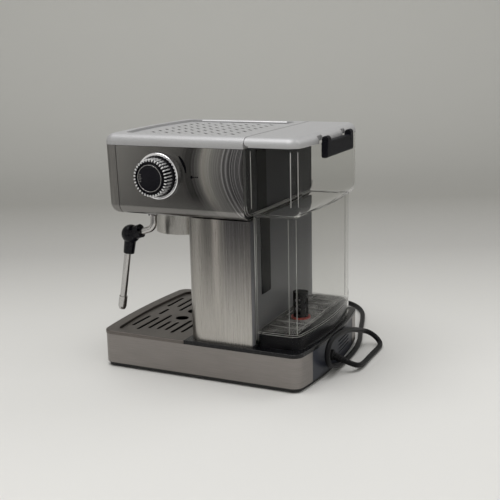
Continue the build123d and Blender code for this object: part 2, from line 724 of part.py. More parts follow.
# ---------------------------------------------------------------- controls
with BuildPart() as control_board:
    with BuildSketch(Plane.XZ.offset(117.2)):
        with Locations((0, 256)):
            RectangleRounded(100, 46, 2)
    extrude(amount=1.6)
    # one soldered push switch behind each button
    with BuildSketch(Plane.XZ.offset(118.8)):
        with Locations((-BUTTON_X, BUTTON_Z), (0, BUTTON_Z), (BUTTON_X, BUTTON_Z)):
            Rectangle(6, 6)
    extrude(amount=2.1)
    with BuildSketch(Plane.XZ.offset(120.9)):
        with Locations((-BUTTON_X, BUTTON_Z), (0, BUTTON_Z), (BUTTON_X, BUTTON_Z)):
            Circle(1.7)
    extrude(amount=1.3)
control_board.part.label = "control_board"

def button(x):
    with BuildPart() as cap:
        with BuildSketch(Plane.XZ.offset(123.9)):
            with Locations((x, BUTTON_Z)):
                Circle(BUTTON_R)
        extrude(amount=8.6)
        fillet(cap.faces().sort_by(Axis.Y)[0].edges(), 1.2)
    return cap.part


with BuildPart() as button_left:
    add(button(-BUTTON_X))
button_left.part.label = "button_left"
with BuildPart() as button_middle:
    add(button(0))
button_middle.part.label = "button_middle"
with BuildPart() as button_right:
    add(button(BUTTON_X))
button_right.part.label = "button_right"

# ---------------------------------------------------------------- tank seat
with BuildPart() as tank_seat:
    with BuildSketch(Plane.XY.offset(Z_DECK + 0.1)):
        add(plan(TANK_HALF_LOW - 3, 78.5, 78.5, TANK_SIDE_LOW - 3, TANK_BOW_LOW - 3, 4, 11))
        with Locations((VALVE_X, VALVE_Y)):
            Circle(13.4, mode=Mode.SUBTRACT)
    extrude(amount=15.9)
    fillet(tank_seat.faces().sort_by(Axis.Z)[-1].outer_wire().edges(), 1.5)
tank_seat.part.label = "tank_seat"

with BuildPart() as inlet_socket:
    with BuildSketch(Plane.XY.offset(Z_DECK + 0.1)):
        with Locations((VALVE_X, VALVE_Y)):
            Circle(13.2)
            Circle(2.4, mode=Mode.SUBTRACT)
    extrude(amount=10)
    with BuildSketch(Plane.XY.offset(54)):
        with Locations((VALVE_X, VALVE_Y)):
            Circle(9.4)
    extrude(amount=10, mode=Mode.SUBTRACT)
inlet_socket.part.label = "inlet_socket"

with BuildPart() as inlet_seal:
    with BuildSketch(Plane.XY.offset(60.3)):
        with Locations((VALVE_X, VALVE_Y)):
            Circle(13.2)
            Circle(9.0, mode=Mode.SUBTRACT)
    extrude(amount=4.6)
inlet_seal.part.label = "inlet_seal"

# ---------------------------------------------------------------- water tank
def tank_block(inset, z_step, z_top, r_bottom):
    with BuildPart() as block:
        with BuildSketch(Plane.XY.offset(z_step)):
            add(plan(HALF_W - inset, TANK_FRONT_UP + inset, TANK_FRONT_UP + inset, TANK_SIDE_UP - inset, TANK_BOW_UP - inset, 0, 15 - inset))
        extrude(amount=z_top - z_step)
        fillet(block.faces().sort_by(Axis.Z)[0].edges().sort_by(Axis.Y)[1:], r_bottom)
    return block.part


tank_upper = tank_block(0, Z_STEP, Z_RIM, 14)
tank_upper_inner = tank_block(TANK_WALL, Z_STEP + TANK_WALL, Z_RIM + 5, 12)
with BuildPart() as tank_shell:
    add(tank_upper)
    with BuildSketch(Plane.XY.offset(Z_SKIRT_TANK)):
        add(plan(TANK_HALF_LOW, TANK_FRONT_LOW, TANK_FRONT_LOW, TANK_SIDE_LOW, TANK_BOW_LOW, 3, 14))
    extrude(amount=Z_STEP + 4 - Z_SKIRT_TANK)
    add(tank_upper_inner, mode=Mode.SUBTRACT)
    with BuildSketch(Plane.XY.offset(Z_FLOOR_TANK + 2.4)):
        add(plan(TANK_HALF_LOW - TANK_WALL, TANK_FRONT_LOW + TANK_WALL, TANK_FRONT_LOW + TANK_WALL, TANK_SIDE_LOW - TANK_WALL, TANK_BOW_LOW - TANK_WALL, 1, 14 - TANK_WALL))
    extrude(amount=Z_STEP + 10 - Z_FLOOR_TANK, mode=Mode.SUBTRACT)
    with BuildSketch(Plane.XY.offset(Z_SKIRT_TANK - 1)):
        add(plan(TANK_HALF_LOW - TANK_WALL, TANK_FRONT_LOW + TANK_WALL, TANK_FRONT_LOW + TANK_WALL, TANK_SIDE_LOW - TANK_WALL, TANK_BOW_LOW - TANK_WALL, 1, 14 - TANK_WALL))
    extrude(amount=Z_FLOOR_TANK - Z_SKIRT_TANK + 1, mode=Mode.SUBTRACT)
    with BuildSketch(Plane.XY.offset(60)):
        with Locations((VALVE_X, VALVE_Y)):
            Circle(9.1)
    extrude(amount=12, mode=Mode.SUBTRACT)
tank_shell.part.label = "tank_shell"

with BuildPart() as tank_valve_body:
    with BuildSketch(Plane.XY.offset(Z_FLOOR_TANK + 2.5)):
        with Locations((VALVE_X, VALVE_Y)):
            Circle(12.5)
            Circle(3.2, mode=Mode.SUBTRACT)
    extrude(amount=2)
    with BuildSketch(Plane.XY.offset(57)):
        with Locations((VALVE_X, VALVE_Y)):
            Circle(8.9)
            Circle(3.2, mode=Mode.SUBTRACT)
    extrude(amount=13)
tank_valve_body.part.label = "tank_valve_body"

with BuildPart() as valve_plunger:
    with BuildSketch(Plane.XY.offset(56)):
        with Locations((VALVE_X, VALVE_Y)):
            Circle(3.13)
    extrude(amount=16)
    with BuildSketch(Plane.XY.offset(71.3)):
        with Locations((VALVE_X, VALVE_Y)):
            Circle(6)
    extrude(amount=1.4)
valve_plunger.part.label = "valve_plunger"

with BuildPart() as tank_filter:
    with BuildSketch(Plane.XY.offset(71.2)):
        with Locations((VALVE_X, VALVE_Y)):
            Circle(9.5)
            Circle(7.9, mode=Mode.SUBTRACT)
    extrude(amount=30)
    with BuildSketch(Plane.XY.offset(101)):
        with Locations((VALVE_X, VALVE_Y)):
            Circle(9.5)
    extrude(amount=3)
    # windows in the filter cage
    with BuildSketch(Plane.XZ.offset(-VALVE_Y - 15)):
        with Locations((VALVE_X, 80), (VALVE_X, 92)):
            Rectangle(9, 8)
    extrude(amount=30, mode=Mode.SUBTRACT)
    with BuildSketch(Plane.YZ.offset(VALVE_X - 15)):
        with Locations((VALVE_Y, 80), (VALVE_Y, 92)):
            Rectangle(9, 8)
    extrude(amount=30, mode=Mode.SUBTRACT)
tank_filter.part.label = "tank_filter"

# ---------------------------------------------------------------- tank lid and handle
with BuildPart() as tank_lid:
    with BuildSketch(Plane.XY.offset(Z_RIM + 0.3)):
        add(plan(HALF_W, 71, 71, TANK_SIDE_UP, TANK_BOW_UP, 0, 15))
    extrude(amount=Z_TOP - Z_RIM - 0.3)
    fillet(tank_lid.faces().sort_by(Axis.Z)[-1].edges().sort_by(Axis.Y)[1:], LID_R)
    with BuildSketch(Plane.XY.offset(Z_RIM)):
        add(plan(HALF_W - 2.4, 66, 66, TANK_SIDE_UP - 2.4, TANK_BOW_UP - 2.4, 0, 12.6))
    extrude(amount=2.6, mode=Mode.SUBTRACT)
    with BuildSketch(Plane.XY.offset(Z_RIM)):
        add(plan(HALF_W - 8, 66, 66, TANK_SIDE_UP - 8, TANK_BOW_UP - 8, 0, 8))
    extrude(amount=9.6, mode=Mode.SUBTRACT)
    # front edge rounded about the hinge so that it clears the cup tray lid
    with BuildSketch(Plane.YZ.offset(-120)):
        with Locations((LID_PIVOT_Y - 10, LID_PIVOT_Z)):
            Rectangle(20, 30)
        with Locations((LID_PIVOT_Y, LID_PIVOT_Z)):
            Circle(6.2, mode=Mode.SUBTRACT)
        with Locations((LID_PIVOT_Y, LID_PIVOT_Z + 10)):
            Rectangle(8, 20, mode=Mode.SUBTRACT)
        with Locations((LID_PIVOT_Y, LID_PIVOT_Z - 10)):
            Rectangle(0.1, 20, mode=Mode.SUBTRACT)
    extrude(amount=240, mode=Mode.SUBTRACT)
    # notch for the handle's hinge ears
    with BuildSketch(Plane.XY.offset(290)):
        with Locations((HANDLE_HALF - 6, 147), (-HANDLE_HALF + 6, 147)):
            Rectangle(14, 16)
    extrude(amount=30, mode=Mode.SUBTRACT)
tank_lid.part.label = "tank_lid"

with BuildPart() as tank_handle:
    with BuildSketch(Plane.YZ.offset(-HANDLE_HALF)):
        with Locations((HANDLE_PIVOT_Y - 0.2, 291)):
            RectangleRounded(8, 20, 2.5)
    extrude(amount=2 * HANDLE_HALF)
    with BuildSketch(Plane.YZ.offset(HANDLE_HALF - 11)):
        with Locations((HANDLE_PIVOT_Y, HANDLE_PIVOT_Z)):
            Circle(4)
        with Locations((HANDLE_PIVOT_Y, HANDLE_PIVOT_Z - 5)):
            Rectangle(8, 10)
    extrude(amount=10)
    with BuildSketch(Plane.YZ.offset(-HANDLE_HALF + 1)):
        with Locations((HANDLE_PIVOT_Y, HANDLE_PIVOT_Z)):
            Circle(4)
        with Locations((HANDLE_PIVOT_Y, HANDLE_PIVOT_Z - 5)):
            Rectangle(8, 10)
    extrude(amount=10)
tank_handle.part.label = "tank_handle"

# ---------------------------------------------------------------- power cord
# Leaves the rear panel sagging, makes one loose loop that leans on the base, passes
# under itself and runs along the table behind the machine to its plug.
RELIEF_ROOT, RELIEF_END = Vector(22, 148.2, 24.4), Vector(16.5, 164, 16.5)
relief_dir = (RELIEF_END - RELIEF_ROOT).normalized()
CORD_ROUTE = [
    tuple(RELIEF_END), tuple(RELIEF_END + relief_dir * 11.5), (3.8, 178.6, 7.6), (-10, 179.4, 4.9), (-28, 178.6, 3.8),
    (-49, 178.2, 3.6), (-72, 178.6, 3.6), (-93, 178.2, 3.8), (-101.4, 173.4, 7.0), (-104.5, 165.6, 12.6),
    (-101.2, 157.8, 18.2), (-93, 153, 21.8), (-77, 152.8, 27.5), (-57, 153, 34.5), (-35, 153.4, 41),
    (-12, 153.6, 46.2), (12, 153.8, 49.4), (29, 153.9, 50.2), (42, 154, 49.2), (51, 154.1, 43.2),
    (54.4, 154.1, 33.5), (51.2, 154.1, 24), (43, 154, 17.6), (32, 153.9, 13.2), (20, 153.7, 9.6),
    (6, 153.4, 6.6), (-10, 153, 4.4), (-30, 152.7, 3.6), (-54, 151.8, 3.6), (-79, 149.4, 3.6),
    (-106, 143.6, 3.6), (-134, 135.2, 3.6), (-164, 126.5, 3.6), (-200, 117, 3.6), (-238, 104, 3.6),
    (-268, 80, 3.6), (-283, 44, 3.6), (-286, 4, 3.6), (-279, -40, 3.6), (-262, -82, 3.6),
    (-238, -114, 3.8), (-210, -131, 6.0), (-180, -133, 10),
]
PLUG_DIR = Vector(0.90, 0.4359, 0).normalized()


def corner_radii(route):
    radii = []
    for a, b, c in zip(route, route[1:], route[2:]):
        u, v = Vector(*b) - Vector(*a), Vector(*c) - Vector(*b)
        turn = radians(u.get_angle(v))
        radii.append(0.45 * min(u.length, v.length) / tan(turn / 2))
    return radii


CORD_RADII = corner_radii(CORD_ROUTE)
print("cord radii", [round(r, 1) for r in CORD_RADII], "smallest", round(min(CORD_RADII), 1))

with BuildPart() as strain_relief:
    with BuildSketch(Plane.XZ.offset(-149.2)):
        with Locations((22, 24)):
            Circle(6.0)
    extrude(amount=6)
    with BuildSketch(Plane.XZ.offset(-150.0)):
        with Locations((22, 24)):
            Circle(7.6)
    extrude(amount=1.7)
    with BuildSketch(Plane(origin=RELIEF_ROOT, z_dir=relief_dir)):
        Circle(5.8)
    with BuildSketch(Plane(origin=RELIEF_END, z_dir=relief_dir)):
        Circle(4.2)
    loft()
strain_relief.part.label = "strain_relief"

with BuildPart() as power_cord:
    with BuildLine() as cord_path:
        FilletPolyline(*CORD_ROUTE, radius=CORD_RADII)
    with BuildSketch(Plane(origin=CORD_ROUTE[0], z_dir=Vector(*CORD_ROUTE[1]) - Vector(*CORD_ROUTE[0]))):
        Circle(CORD_D / 2)
    sweep()
power_cord.part.label = "power_cord"
cord_length = sum(edge.length for edge in cord_path.edges())
print("cord length", round(cord_length, 1), "volume", round(power_cord.part.volume), "section x length", round(pi * (CORD_D / 2) ** 2 * cord_length))

plug_end = Vector(*CORD_ROUTE[-1])
last_dir = (plug_end - Vector(*CORD_ROUTE[-2])).normalized()
with BuildPart() as power_plug:
    with BuildSketch(Plane(origin=plug_end, z_dir=last_dir)):
        Circle(4.6)
    with BuildSketch(Plane(origin=plug_end + PLUG_DIR * 16, x_dir=(0, 0, 1), z_dir=PLUG_DIR)):
        Circle(6.5)
    loft()
    with BuildSketch(Plane(origin=plug_end + PLUG_DIR * 14, x_dir=(0, 0, 1), z_dir=PLUG_DIR)):
        RectangleRounded(19, 26, 6)
    extrude(amount=24)
    fillet(power_plug.faces().sort_by(Axis((0, 0, 0), tuple(PLUG_DIR)))[-1].edges(), 2)
    with BuildSketch(Plane(origin=plug_end + PLUG_DIR * 37, x_dir=(0, 0, 1), z_dir=PLUG_DIR)):
        with Locations((0, 6.3), (0, -6.3)):
            Rectangle(6.3, 1.5)
    extrude(amount=17)
power_plug.part.label = "power_plug"

# ---------------------------------------------------------------- files
export_step(base_pan.part, "parts/base_pan.step")
export_step(base_band.part, "parts/base_band.step")
export_step(base_rear_panel.part, "parts/base_rear_panel.step")
export_step(rubber_feet.part, "parts/rubber_feet.step")
export_step(base_top_frame.part, "parts/base_top_frame.step")
export_step(drip_grid.part, "parts/drip_grid.step")
export_step(drip_tray.part, "parts/drip_tray.step")
export_step(tray_fascia.part, "parts/tray_fascia.step")
export_step(base_deck.part, "parts/base_deck.step")
export_step(base_screws.part, "parts/base_screws.step")
export_step(column_shell.part, "parts/column_shell.step")
export_step(column_back_panel.part, "parts/column_back_panel.step")
export_step(rear_duct_cover.part, "parts/rear_duct_cover.step")
export_step(head_shell.part, "parts/head_shell.step")
export_step(front_panel.part, "parts/front_panel.step")
export_step(head_bottom_cover.part, "parts/head_bottom_cover.step")
export_step(head_back_panel.part, "parts/head_back_panel.step")
export_step(head_lid.part, "parts/head_lid.step")
export_step(cup_warmer_plate.part, "parts/cup_warmer_plate.step")
export_step(group_shroud.part, "parts/group_shroud.step")
export_step(group_head.part, "parts/group_head.step")
export_step(group_gasket.part, "parts/group_gasket.step")
export_step(shower_screen.part, "parts/shower_screen.step")
export_step(shower_screw.part, "parts/shower_screw.step")
export_step(boiler_lower.part, "parts/boiler_lower.step")
export_step(boiler_seal.part, "parts/boiler_seal.step")
export_step(boiler_upper.part, "parts/boiler_upper.step")
export_step(boiler_bolts.part, "parts/boiler_bolts.step")
export_step(thermostats.part, "parts/thermostats.step")
export_step(steam_valve.part, "parts/steam_valve.step")
export_step(valve_stem.part, "parts/valve_stem.step")
export_step(knob_bezel.part, "parts/knob_bezel.step")
export_step(steam_knob.part, "parts/steam_knob.step")
export_step(knob_ribs.part, "parts/knob_ribs.step")
export_step(wand_tube.part, "parts/wand_tube.step")
export_step(wand_grip.part, "parts/wand_grip.step")
export_step(wand_tip.part, "parts/wand_tip.step")
export_step(wand_nut.part, "parts/wand_nut.step")
export_step(wand_coupling.part, "parts/wand_coupling.step")
export_step(pump_mounts.part, "parts/pump_mounts.step")
export_step(pump.part, "parts/pump.step")
export_step(inlet_hose.part, "parts/inlet_hose.step")
export_step(pressure_hose.part, "parts/pressure_hose.step")
export_step(steam_pipes.part, "parts/steam_pipes.step")
export_step(control_board.part, "parts/control_board.step")
export_step(button_left.part, "parts/button_left.step")
export_step(button_middle.part, "parts/button_middle.step")
export_step(button_right.part, "parts/button_right.step")
export_step(tank_seat.part, "parts/tank_seat.step")
export_step(inlet_socket.part, "parts/inlet_socket.step")
export_step(inlet_seal.part, "parts/inlet_seal.step")
export_step(tank_shell.part, "parts/tank_shell.step")
export_step(tank_valve_body.part, "parts/tank_valve_body.step")
export_step(valve_plunger.part, "parts/valve_plunger.step")
export_step(tank_filter.part, "parts/tank_filter.step")
export_step(tank_lid.part, "parts/tank_lid.step")
export_step(tank_handle.part, "parts/tank_handle.step")
export_step(strain_relief.part, "parts/strain_relief.step")
export_step(power_cord.part, "parts/power_cord.step")
export_step(power_plug.part, "parts/power_plug.step")
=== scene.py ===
import bpy
import bmesh
import math
from mathutils import Matrix, Vector


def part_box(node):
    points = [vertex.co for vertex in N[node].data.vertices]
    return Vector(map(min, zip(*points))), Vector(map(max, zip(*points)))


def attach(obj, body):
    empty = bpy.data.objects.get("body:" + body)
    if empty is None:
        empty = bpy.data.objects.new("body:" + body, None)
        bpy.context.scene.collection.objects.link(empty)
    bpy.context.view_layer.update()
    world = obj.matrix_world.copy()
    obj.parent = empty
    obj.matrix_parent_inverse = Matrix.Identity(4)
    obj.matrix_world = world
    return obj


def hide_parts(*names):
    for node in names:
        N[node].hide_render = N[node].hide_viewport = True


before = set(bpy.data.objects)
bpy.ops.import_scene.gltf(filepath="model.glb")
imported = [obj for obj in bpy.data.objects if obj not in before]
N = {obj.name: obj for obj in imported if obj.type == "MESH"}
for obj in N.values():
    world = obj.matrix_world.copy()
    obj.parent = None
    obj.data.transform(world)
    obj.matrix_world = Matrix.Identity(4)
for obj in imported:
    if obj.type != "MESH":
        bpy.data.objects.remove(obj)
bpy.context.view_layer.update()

MM = 0.001


# ------------------------------------------------------------------ camera
cam_data = bpy.data.cameras.new("camera")
cam = bpy.data.objects.new("camera", cam_data)
bpy.context.scene.collection.objects.link(cam)
right = Vector((-0.4241188, 0.90534979, -0.02156399))
up = Vector((-0.21614569, -0.07807439, 0.97323452))
back = Vector((0.87943407, 0.41742802, 0.22880027))
place = Vector((1.0670, 0.5315, 0.42526))
cam.matrix_world = Matrix((
    (right.x, up.x, back.x, place.x),
    (right.y, up.y, back.y, place.y),
    (right.z, up.z, back.z, place.z),
    (0, 0, 0, 1),
))
cam_data.sensor_width = 36
cam_data.lens = 65.61
cam_data.clip_end = 60
bpy.context.scene.camera = cam


# ------------------------------------------------------------------ small helpers
def link(obj, body=None, smooth=True):
    bpy.context.scene.collection.objects.link(obj)
    if smooth and obj.type == "MESH":
        for p in obj.data.polygons:
            p.use_smooth = True
    if body:
        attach(obj, body)
    return obj


def mesh_obj(name, bm, mat, body, smooth=True):
    me = bpy.data.meshes.new(name)
    bmesh.ops.remove_doubles(bm, verts=bm.verts, dist=1e-7)
    bmesh.ops.recalc_face_normals(bm, faces=bm.faces)
    bm.to_mesh(me)
    bm.free()
    o = bpy.data.objects.new(name, me)
    o.data.materials.append(mat)
    return link(o, body, smooth)


def auto_smooth(o, angle=35):
    for p in o.data.polygons:
        p.use_smooth = True
    m = o.modifiers.new("edges", "EDGE_SPLIT")
    m.split_angle = math.radians(angle)
    return o


def bevel(o, width=0.0004, segments=2, angle=40):
    m = o.modifiers.new("bevel", "BEVEL")
    m.width = width
    m.segments = segments
    m.limit_method = "ANGLE"
    m.angle_limit = math.radians(angle)
    m.harden_normals = False
    return o


def frame_of(axis):
    """Two directions square to axis."""
    axis = Vector(axis).normalized()
    side = Vector((0, 0, 1)).cross(axis)
    if side.length < 1e-6:
        side = Vector((1, 0, 0))
    side.normalize()
    return axis, side, axis.cross(side).normalized()


def lathe(bm, origin, axis, profile, steps=96, close=True):
    """profile: (distance along axis, radius) in metres."""
    axis, u, v = frame_of(axis)
    origin = Vector(origin)
    rings = []
    for h, r in profile:
        if r < 1e-7:
            rings.append([bm.verts.new(origin + axis * h)])
        else:
            rings.append([
                bm.verts.new(origin + axis * h + (u * math.cos(2 * math.pi * i / steps) + v * math.sin(2 * math.pi * i / steps)) * r)
                for i in range(steps)
            ])
    for a, b in zip(rings, rings[1:]):
        for i in range(steps):
            j = (i + 1) % steps
            if len(a) == 1 and len(b) == 1:
                continue
            if len(a) == 1:
                bm.faces.new((a[0], b[i], b[j]))
            elif len(b) == 1:
                bm.faces.new((a[i], a[j], b[0]))
            else:
                bm.faces.new((a[i], a[j], b[j], b[i]))
    return rings


def rounded(points, r, n=5):
    """Rounds the corners of an open 2-D profile."""
    out = [points[0]]
    for a, b, c in zip(points, points[1:], points[2:]):
        A, B, C = Vector(a), Vector(b), Vector(c)
        u, w = (A - B), (C - B)
        d = min(r, u.length * 0.45, w.length * 0.45)
        if d < 1e-6:
            out.append(b)
            continue
        p, q = B + u.normalized() * d, B + w.normalized() * d
        for k in range(n + 1):
            t = k / n
            out.append(tuple(p * (1 - t) ** 2 + B * 2 * t * (1 - t) + q * t ** 2))
    out.append(points[-1])
    return out


def prism(bm, pts, low, high, to_world):
    """Extrudes a closed 2-D outline between two depths."""
    a = [bm.verts.new(to_world(x, y, low)) for x, y in pts]
    b = [bm.verts.new(to_world(x, y, high)) for x, y in pts]
    n = len(pts)
    for i in range(n):
        j = (i + 1) % n
        bm.faces.new((a[i], a[j], b[j], b[i]))
    bm.faces.new(a[::-1])
    bm.faces.new(b)


# ------------------------------------------------------------------ materials
class Mat:
    def __init__(self, name, **values):
        self.m = bpy.data.materials.new(name)
        self.m.use_nodes = True
        self.t = self.m.node_tree
        self.n = self.t.nodes
        self.p = self.n["Principled BSDF"]
        for k, v in values.items():
            self.p.inputs[k.replace("_", " ")].default_value = v
        self.pos = self.n.new("ShaderNodeTexCoord").outputs["Object"]

    def new(self, kind, **values):
        node = self.n.new(kind)
        for k, v in values.items():
            if k in node.bl_rna.properties:
                setattr(node, k, v)
            else:
                node.inputs[k.replace("_", " ")].default_value = v
        return node

    def wire(self, a, b):
        self.t.links.new(a, b)

    def mapped(self, scale):
        m = self.new("ShaderNodeMapping")
        m.inputs["Scale"].default_value = scale
        self.wire(self.pos, m.inputs["Vector"])
        return m.outputs[0]

    def noise(self, scale, stretch=(1, 1, 1), detail=3.0, rough=0.55):
        n = self.new("ShaderNodeTexNoise")
        n.inputs["Scale"].default_value = scale
        n.inputs["Detail"].default_value = detail
        n.inputs["Roughness"].default_value = rough
        self.wire(self.mapped(stretch), n.inputs["Vector"])
        return n.outputs["Fac"]

    def ramp(self, fac, stops):
        r = self.new("ShaderNodeValToRGB")
        el = r.color_ramp.elements
        while len(el) < len(stops):
            el.new(0.5)
        for e, (pos, col) in zip(el, stops):
            e.position = pos
            e.color = (*col, 1) if len(col) == 3 else col
        self.wire(fac, r.inputs["Fac"])
        return r.outputs["Color"]

    def range(self, fac, low, high):
        r = self.new("ShaderNodeMapRange")
        r.inputs["To Min"].default_value = low
        r.inputs["To Max"].default_value = high
        self.wire(fac, r.inputs["Value"])
        return r.outputs["Result"]

    def bump(self, fac, strength, distance=0.001):
        b = self.new("ShaderNodeBump")
        b.inputs["Strength"].default_value = strength
        b.inputs["Distance"].default_value = distance
        self.wire(fac, b.inputs["Height"])
        self.wire(b.outputs[0], self.p.inputs["Normal"])


def brushed(name, base, dark, rough, grain=(260, 260, 3), aniso=0.55, strength=0.10, turn=0.25):
    """Sheet steel brushed along the direction in which the grain is stretched."""
    m = Mat(name, Metallic=1.0, Anisotropic=aniso, Anisotropic_Rotation=turn)
    fine = m.noise(9.0, grain, 4.0, 0.7)
    broad = m.noise(3.0, (6, 6, 0.8), 2.0, 0.5)
    col = m.ramp(fine, [(0.25, dark), (0.75, base)])
    mix = m.new("ShaderNodeMix", data_type="RGBA", blend_type="MULTIPLY")
    mix.inputs["Factor"].default_value = 0.25
    m.wire(col, mix.inputs[6])
    m.wire(m.ramp(broad, [(0.3, (0.8, 0.79, 0.78)), (0.7, (1, 1, 1))]), mix.inputs[7])
    m.wire(mix.outputs[2], m.p.inputs["Base Color"])
    m.wire(m.range(fine, rough - 0.05, rough + 0.07), m.p.inputs["Roughness"])
    m.bump(fine, strength, 0.0002)
    tan = m.new("ShaderNodeTangent", direction_type="RADIAL", axis="Z")
    m.wire(tan.outputs[0], m.p.inputs["Tangent"])
    return m.m


def plastic(name, color, rough, grain=900.0, strength=0.08, coat=0.0, spread=0.15, specular=0.5):
    """Moulded plastic with a fine spark-eroded grain."""
    m = Mat(name, Coat_Weight=coat, Coat_Roughness=0.08)
    m.p.inputs["Specular IOR Level"].default_value = specular
    fine = m.noise(grain, (1, 1, 1), 2.0, 0.5)
    broad = m.noise(14.0, (1, 1, 1), 2.0, 0.5)
    lo = tuple(c * (1 - spread) for c in color)
    hi = tuple(min(1, c * (1 + spread)) for c in color)
    m.wire(m.ramp(broad, [(0.3, lo), (0.7, hi)]), m.p.inputs["Base Color"])
    m.wire(m.range(fine, rough - 0.06, rough + 0.08), m.p.inputs["Roughness"])
    m.bump(fine, strength, 0.0002)
    return m.m


def metal(name, color, rough, spread=0.08, grain=300.0, strength=0.03, aniso=0.0):
    m = Mat(name, Metallic=1.0, Anisotropic=aniso)
    fine = m.noise(grain, (1, 1, 1), 3.0, 0.6)
    lo = tuple(c * (1 - spread) for c in color)
    m.wire(m.ramp(fine, [(0.3, lo), (0.7, color)]), m.p.inputs["Base Color"])
    m.wire(m.range(fine, max(0.02, rough - 0.03), rough + 0.04), m.p.inputs["Roughness"])
    m.bump(fine, strength, 0.0001)
    return m.m


def steel_painted_reflections(name, base, dark, rough, curve, centre_z, stops, fade, lines, painted_shade_tone=1.0):
    """Brushed sheet with reflections and shade painted into its colour: on the +X side, bands of painted
    reflection by u = y - curve * (z - centre_z)^2, fading down to z = fade[0] into a flat tone that is painted shade
    where below 1."""
    m = Mat(name, Metallic=1.0, Anisotropic=0.5, Anisotropic_Rotation=0.25)
    fine = m.noise(9.0, (260, 260, 3), 4.0, 0.7)
    xyz = m.new("ShaderNodeSeparateXYZ")
    m.wire(m.pos, xyz.inputs[0])

    def op(kind, a, b=None, c=None):
        n = m.new("ShaderNodeMath", operation=kind)
        for i, v in enumerate((a, b, c)):
            if v is None:
                continue
            if isinstance(v, (int, float)):
                n.inputs[i].default_value = v
            else:
                m.wire(v, n.inputs[i])
        return n.outputs[0]

    dz = op("SUBTRACT", xyz.outputs["Z"], centre_z)
    u = op("SUBTRACT", xyz.outputs["Y"], op("MULTIPLY", op("MULTIPLY", dz, dz), curve))
    t = op("MULTIPLY_ADD", u, 1 / 0.2, 0.6)
    # painted reflection: the stops give light and dark bands across u, standing in for the surroundings mirrored in the
    # steel
    band = m.ramp(t, [((y + 0.12) / 0.2, c) for y, c in stops])
    # thin bright streaks of painted reflection that follow the same painted bands
    wave = m.new("ShaderNodeTexNoise", noise_dimensions="1D")
    wave.inputs["Scale"].default_value = 1.0
    wave.inputs["Detail"].default_value = 3.0
    wave.inputs["Roughness"].default_value = 0.7
    m.wire(op("MULTIPLY", u, lines[0]), wave.inputs["W"])
    line = m.ramp(wave.outputs["Fac"], [(0.45, (0, 0, 0)), (0.62, (1, 1, 1))])
    glint_mask = m.ramp(t, [((y + 0.12) / 0.2, (c, c, c)) for y, c in lines[1]])
    glint_amount = op("MULTIPLY", op("MULTIPLY", line, glint_mask), lines[2])
    # the painted bands and streaks are laid only on the +X side; elsewhere the colour is the flat tone
    side = op("GREATER_THAN", xyz.outputs["X"], 0.09)
    # painted shade: towards the bottom, between fade[0] and fade[1], the bands give way to the flat tone
    low, high = fade
    down = m.new("ShaderNodeMapRange", interpolation_type="SMOOTHSTEP")
    down.inputs["From Min"].default_value = low
    down.inputs["From Max"].default_value = high
    m.wire(xyz.outputs["Z"], down.inputs["Value"])
    mix = m.new("ShaderNodeMix", data_type="RGBA", blend_type="MIX")
    m.wire(op("MULTIPLY", down.outputs["Result"], side), mix.inputs["Factor"])
    mix.inputs[6].default_value = (painted_shade_tone, painted_shade_tone, painted_shade_tone, 1)
    m.wire(band, mix.inputs[7])
    grain = m.new("ShaderNodeMix", data_type="RGBA", blend_type="MULTIPLY")
    grain.inputs["Factor"].default_value = 1.0
    m.wire(m.ramp(fine, [(0.25, dark), (0.75, base)]), grain.inputs[6])
    m.wire(mix.outputs[2], grain.inputs[7])
    # painted highlight: the bright streaks are added onto the colour
    add = m.new("ShaderNodeMix", data_type="RGBA", blend_type="ADD")
    m.wire(op("MULTIPLY", glint_amount, side), add.inputs["Factor"])
    m.wire(grain.outputs[2], add.inputs[6])
    add.inputs[7].default_value = (0.22, 0.215, 0.22, 1)
    m.wire(add.outputs[2], m.p.inputs["Base Color"])
    m.wire(m.range(fine, rough - 0.05, rough + 0.07), m.p.inputs["Roughness"])
    m.bump(fine, 0.08, 0.0002)
    tan = m.new("ShaderNodeTangent", direction_type="RADIAL", axis="Z")
    m.wire(tan.outputs[0], m.p.inputs["Tangent"])
    return m.m


g = lambda v, r=1.0, b=1.0: (v * r, v, v * b)
# painted reflections on the column and the head side: each stop list is light and dark bands of mirrored surroundings;
# the head side also has painted shade, a flat 0.42 tone low down and off the +X side
steel_column_painted = steel_painted_reflections(
    "steel_column_painted", (0.53, 0.505, 0.475), (0.38, 0.365, 0.34), 0.27, 0.0, 0.13,
    [(-0.02, g(0.55)), (-0.004, g(0.5)), (0.001, g(0.86)), (0.012, g(0.38)), (0.020, g(0.42)), (0.0245, g(1.02, 1.03)),
     (0.0285, g(0.95, 1.03)), (0.033, g(0.5)), (0.042, g(0.16, 1, 1.12)), (0.056, g(0.15, 1, 1.12)), (0.068, g(0.2, 1, 1.08))],
    (0.055, 0.225), (420.0, [(0.0, 0.0), (0.030, 0.0), (0.040, 1.0), (0.062, 0.8), (0.074, 0.0)], 0.32))
steel_side_painted = steel_painted_reflections(
    "steel_head_side_painted", (0.60, 0.585, 0.565), (0.42, 0.41, 0.395), 0.20, 8.0, 0.270,
    [(-0.11, g(0.46)), (-0.06, g(0.30)), (-0.018, g(0.20)), (-0.008, g(0.09)), (0.003, g(0.09)), (0.009, g(0.28)),
     (0.0155, g(0.60, 1.02, 0.95)), (0.022, g(0.55, 1, 0.96)), (0.029, g(0.38)), (0.036, g(0.30)), (0.044, g(0.19, 1, 1.05)),
     (0.060, g(0.10, 1, 1.08)), (0.075, g(0.09))],
    (0.208, 0.240), (330.0, [(-0.02, 0.0), (0.006, 0.25), (0.030, 0.35), (0.040, 1.0), (0.064, 0.9), (0.08, 0.4)], 0.9), 0.42)
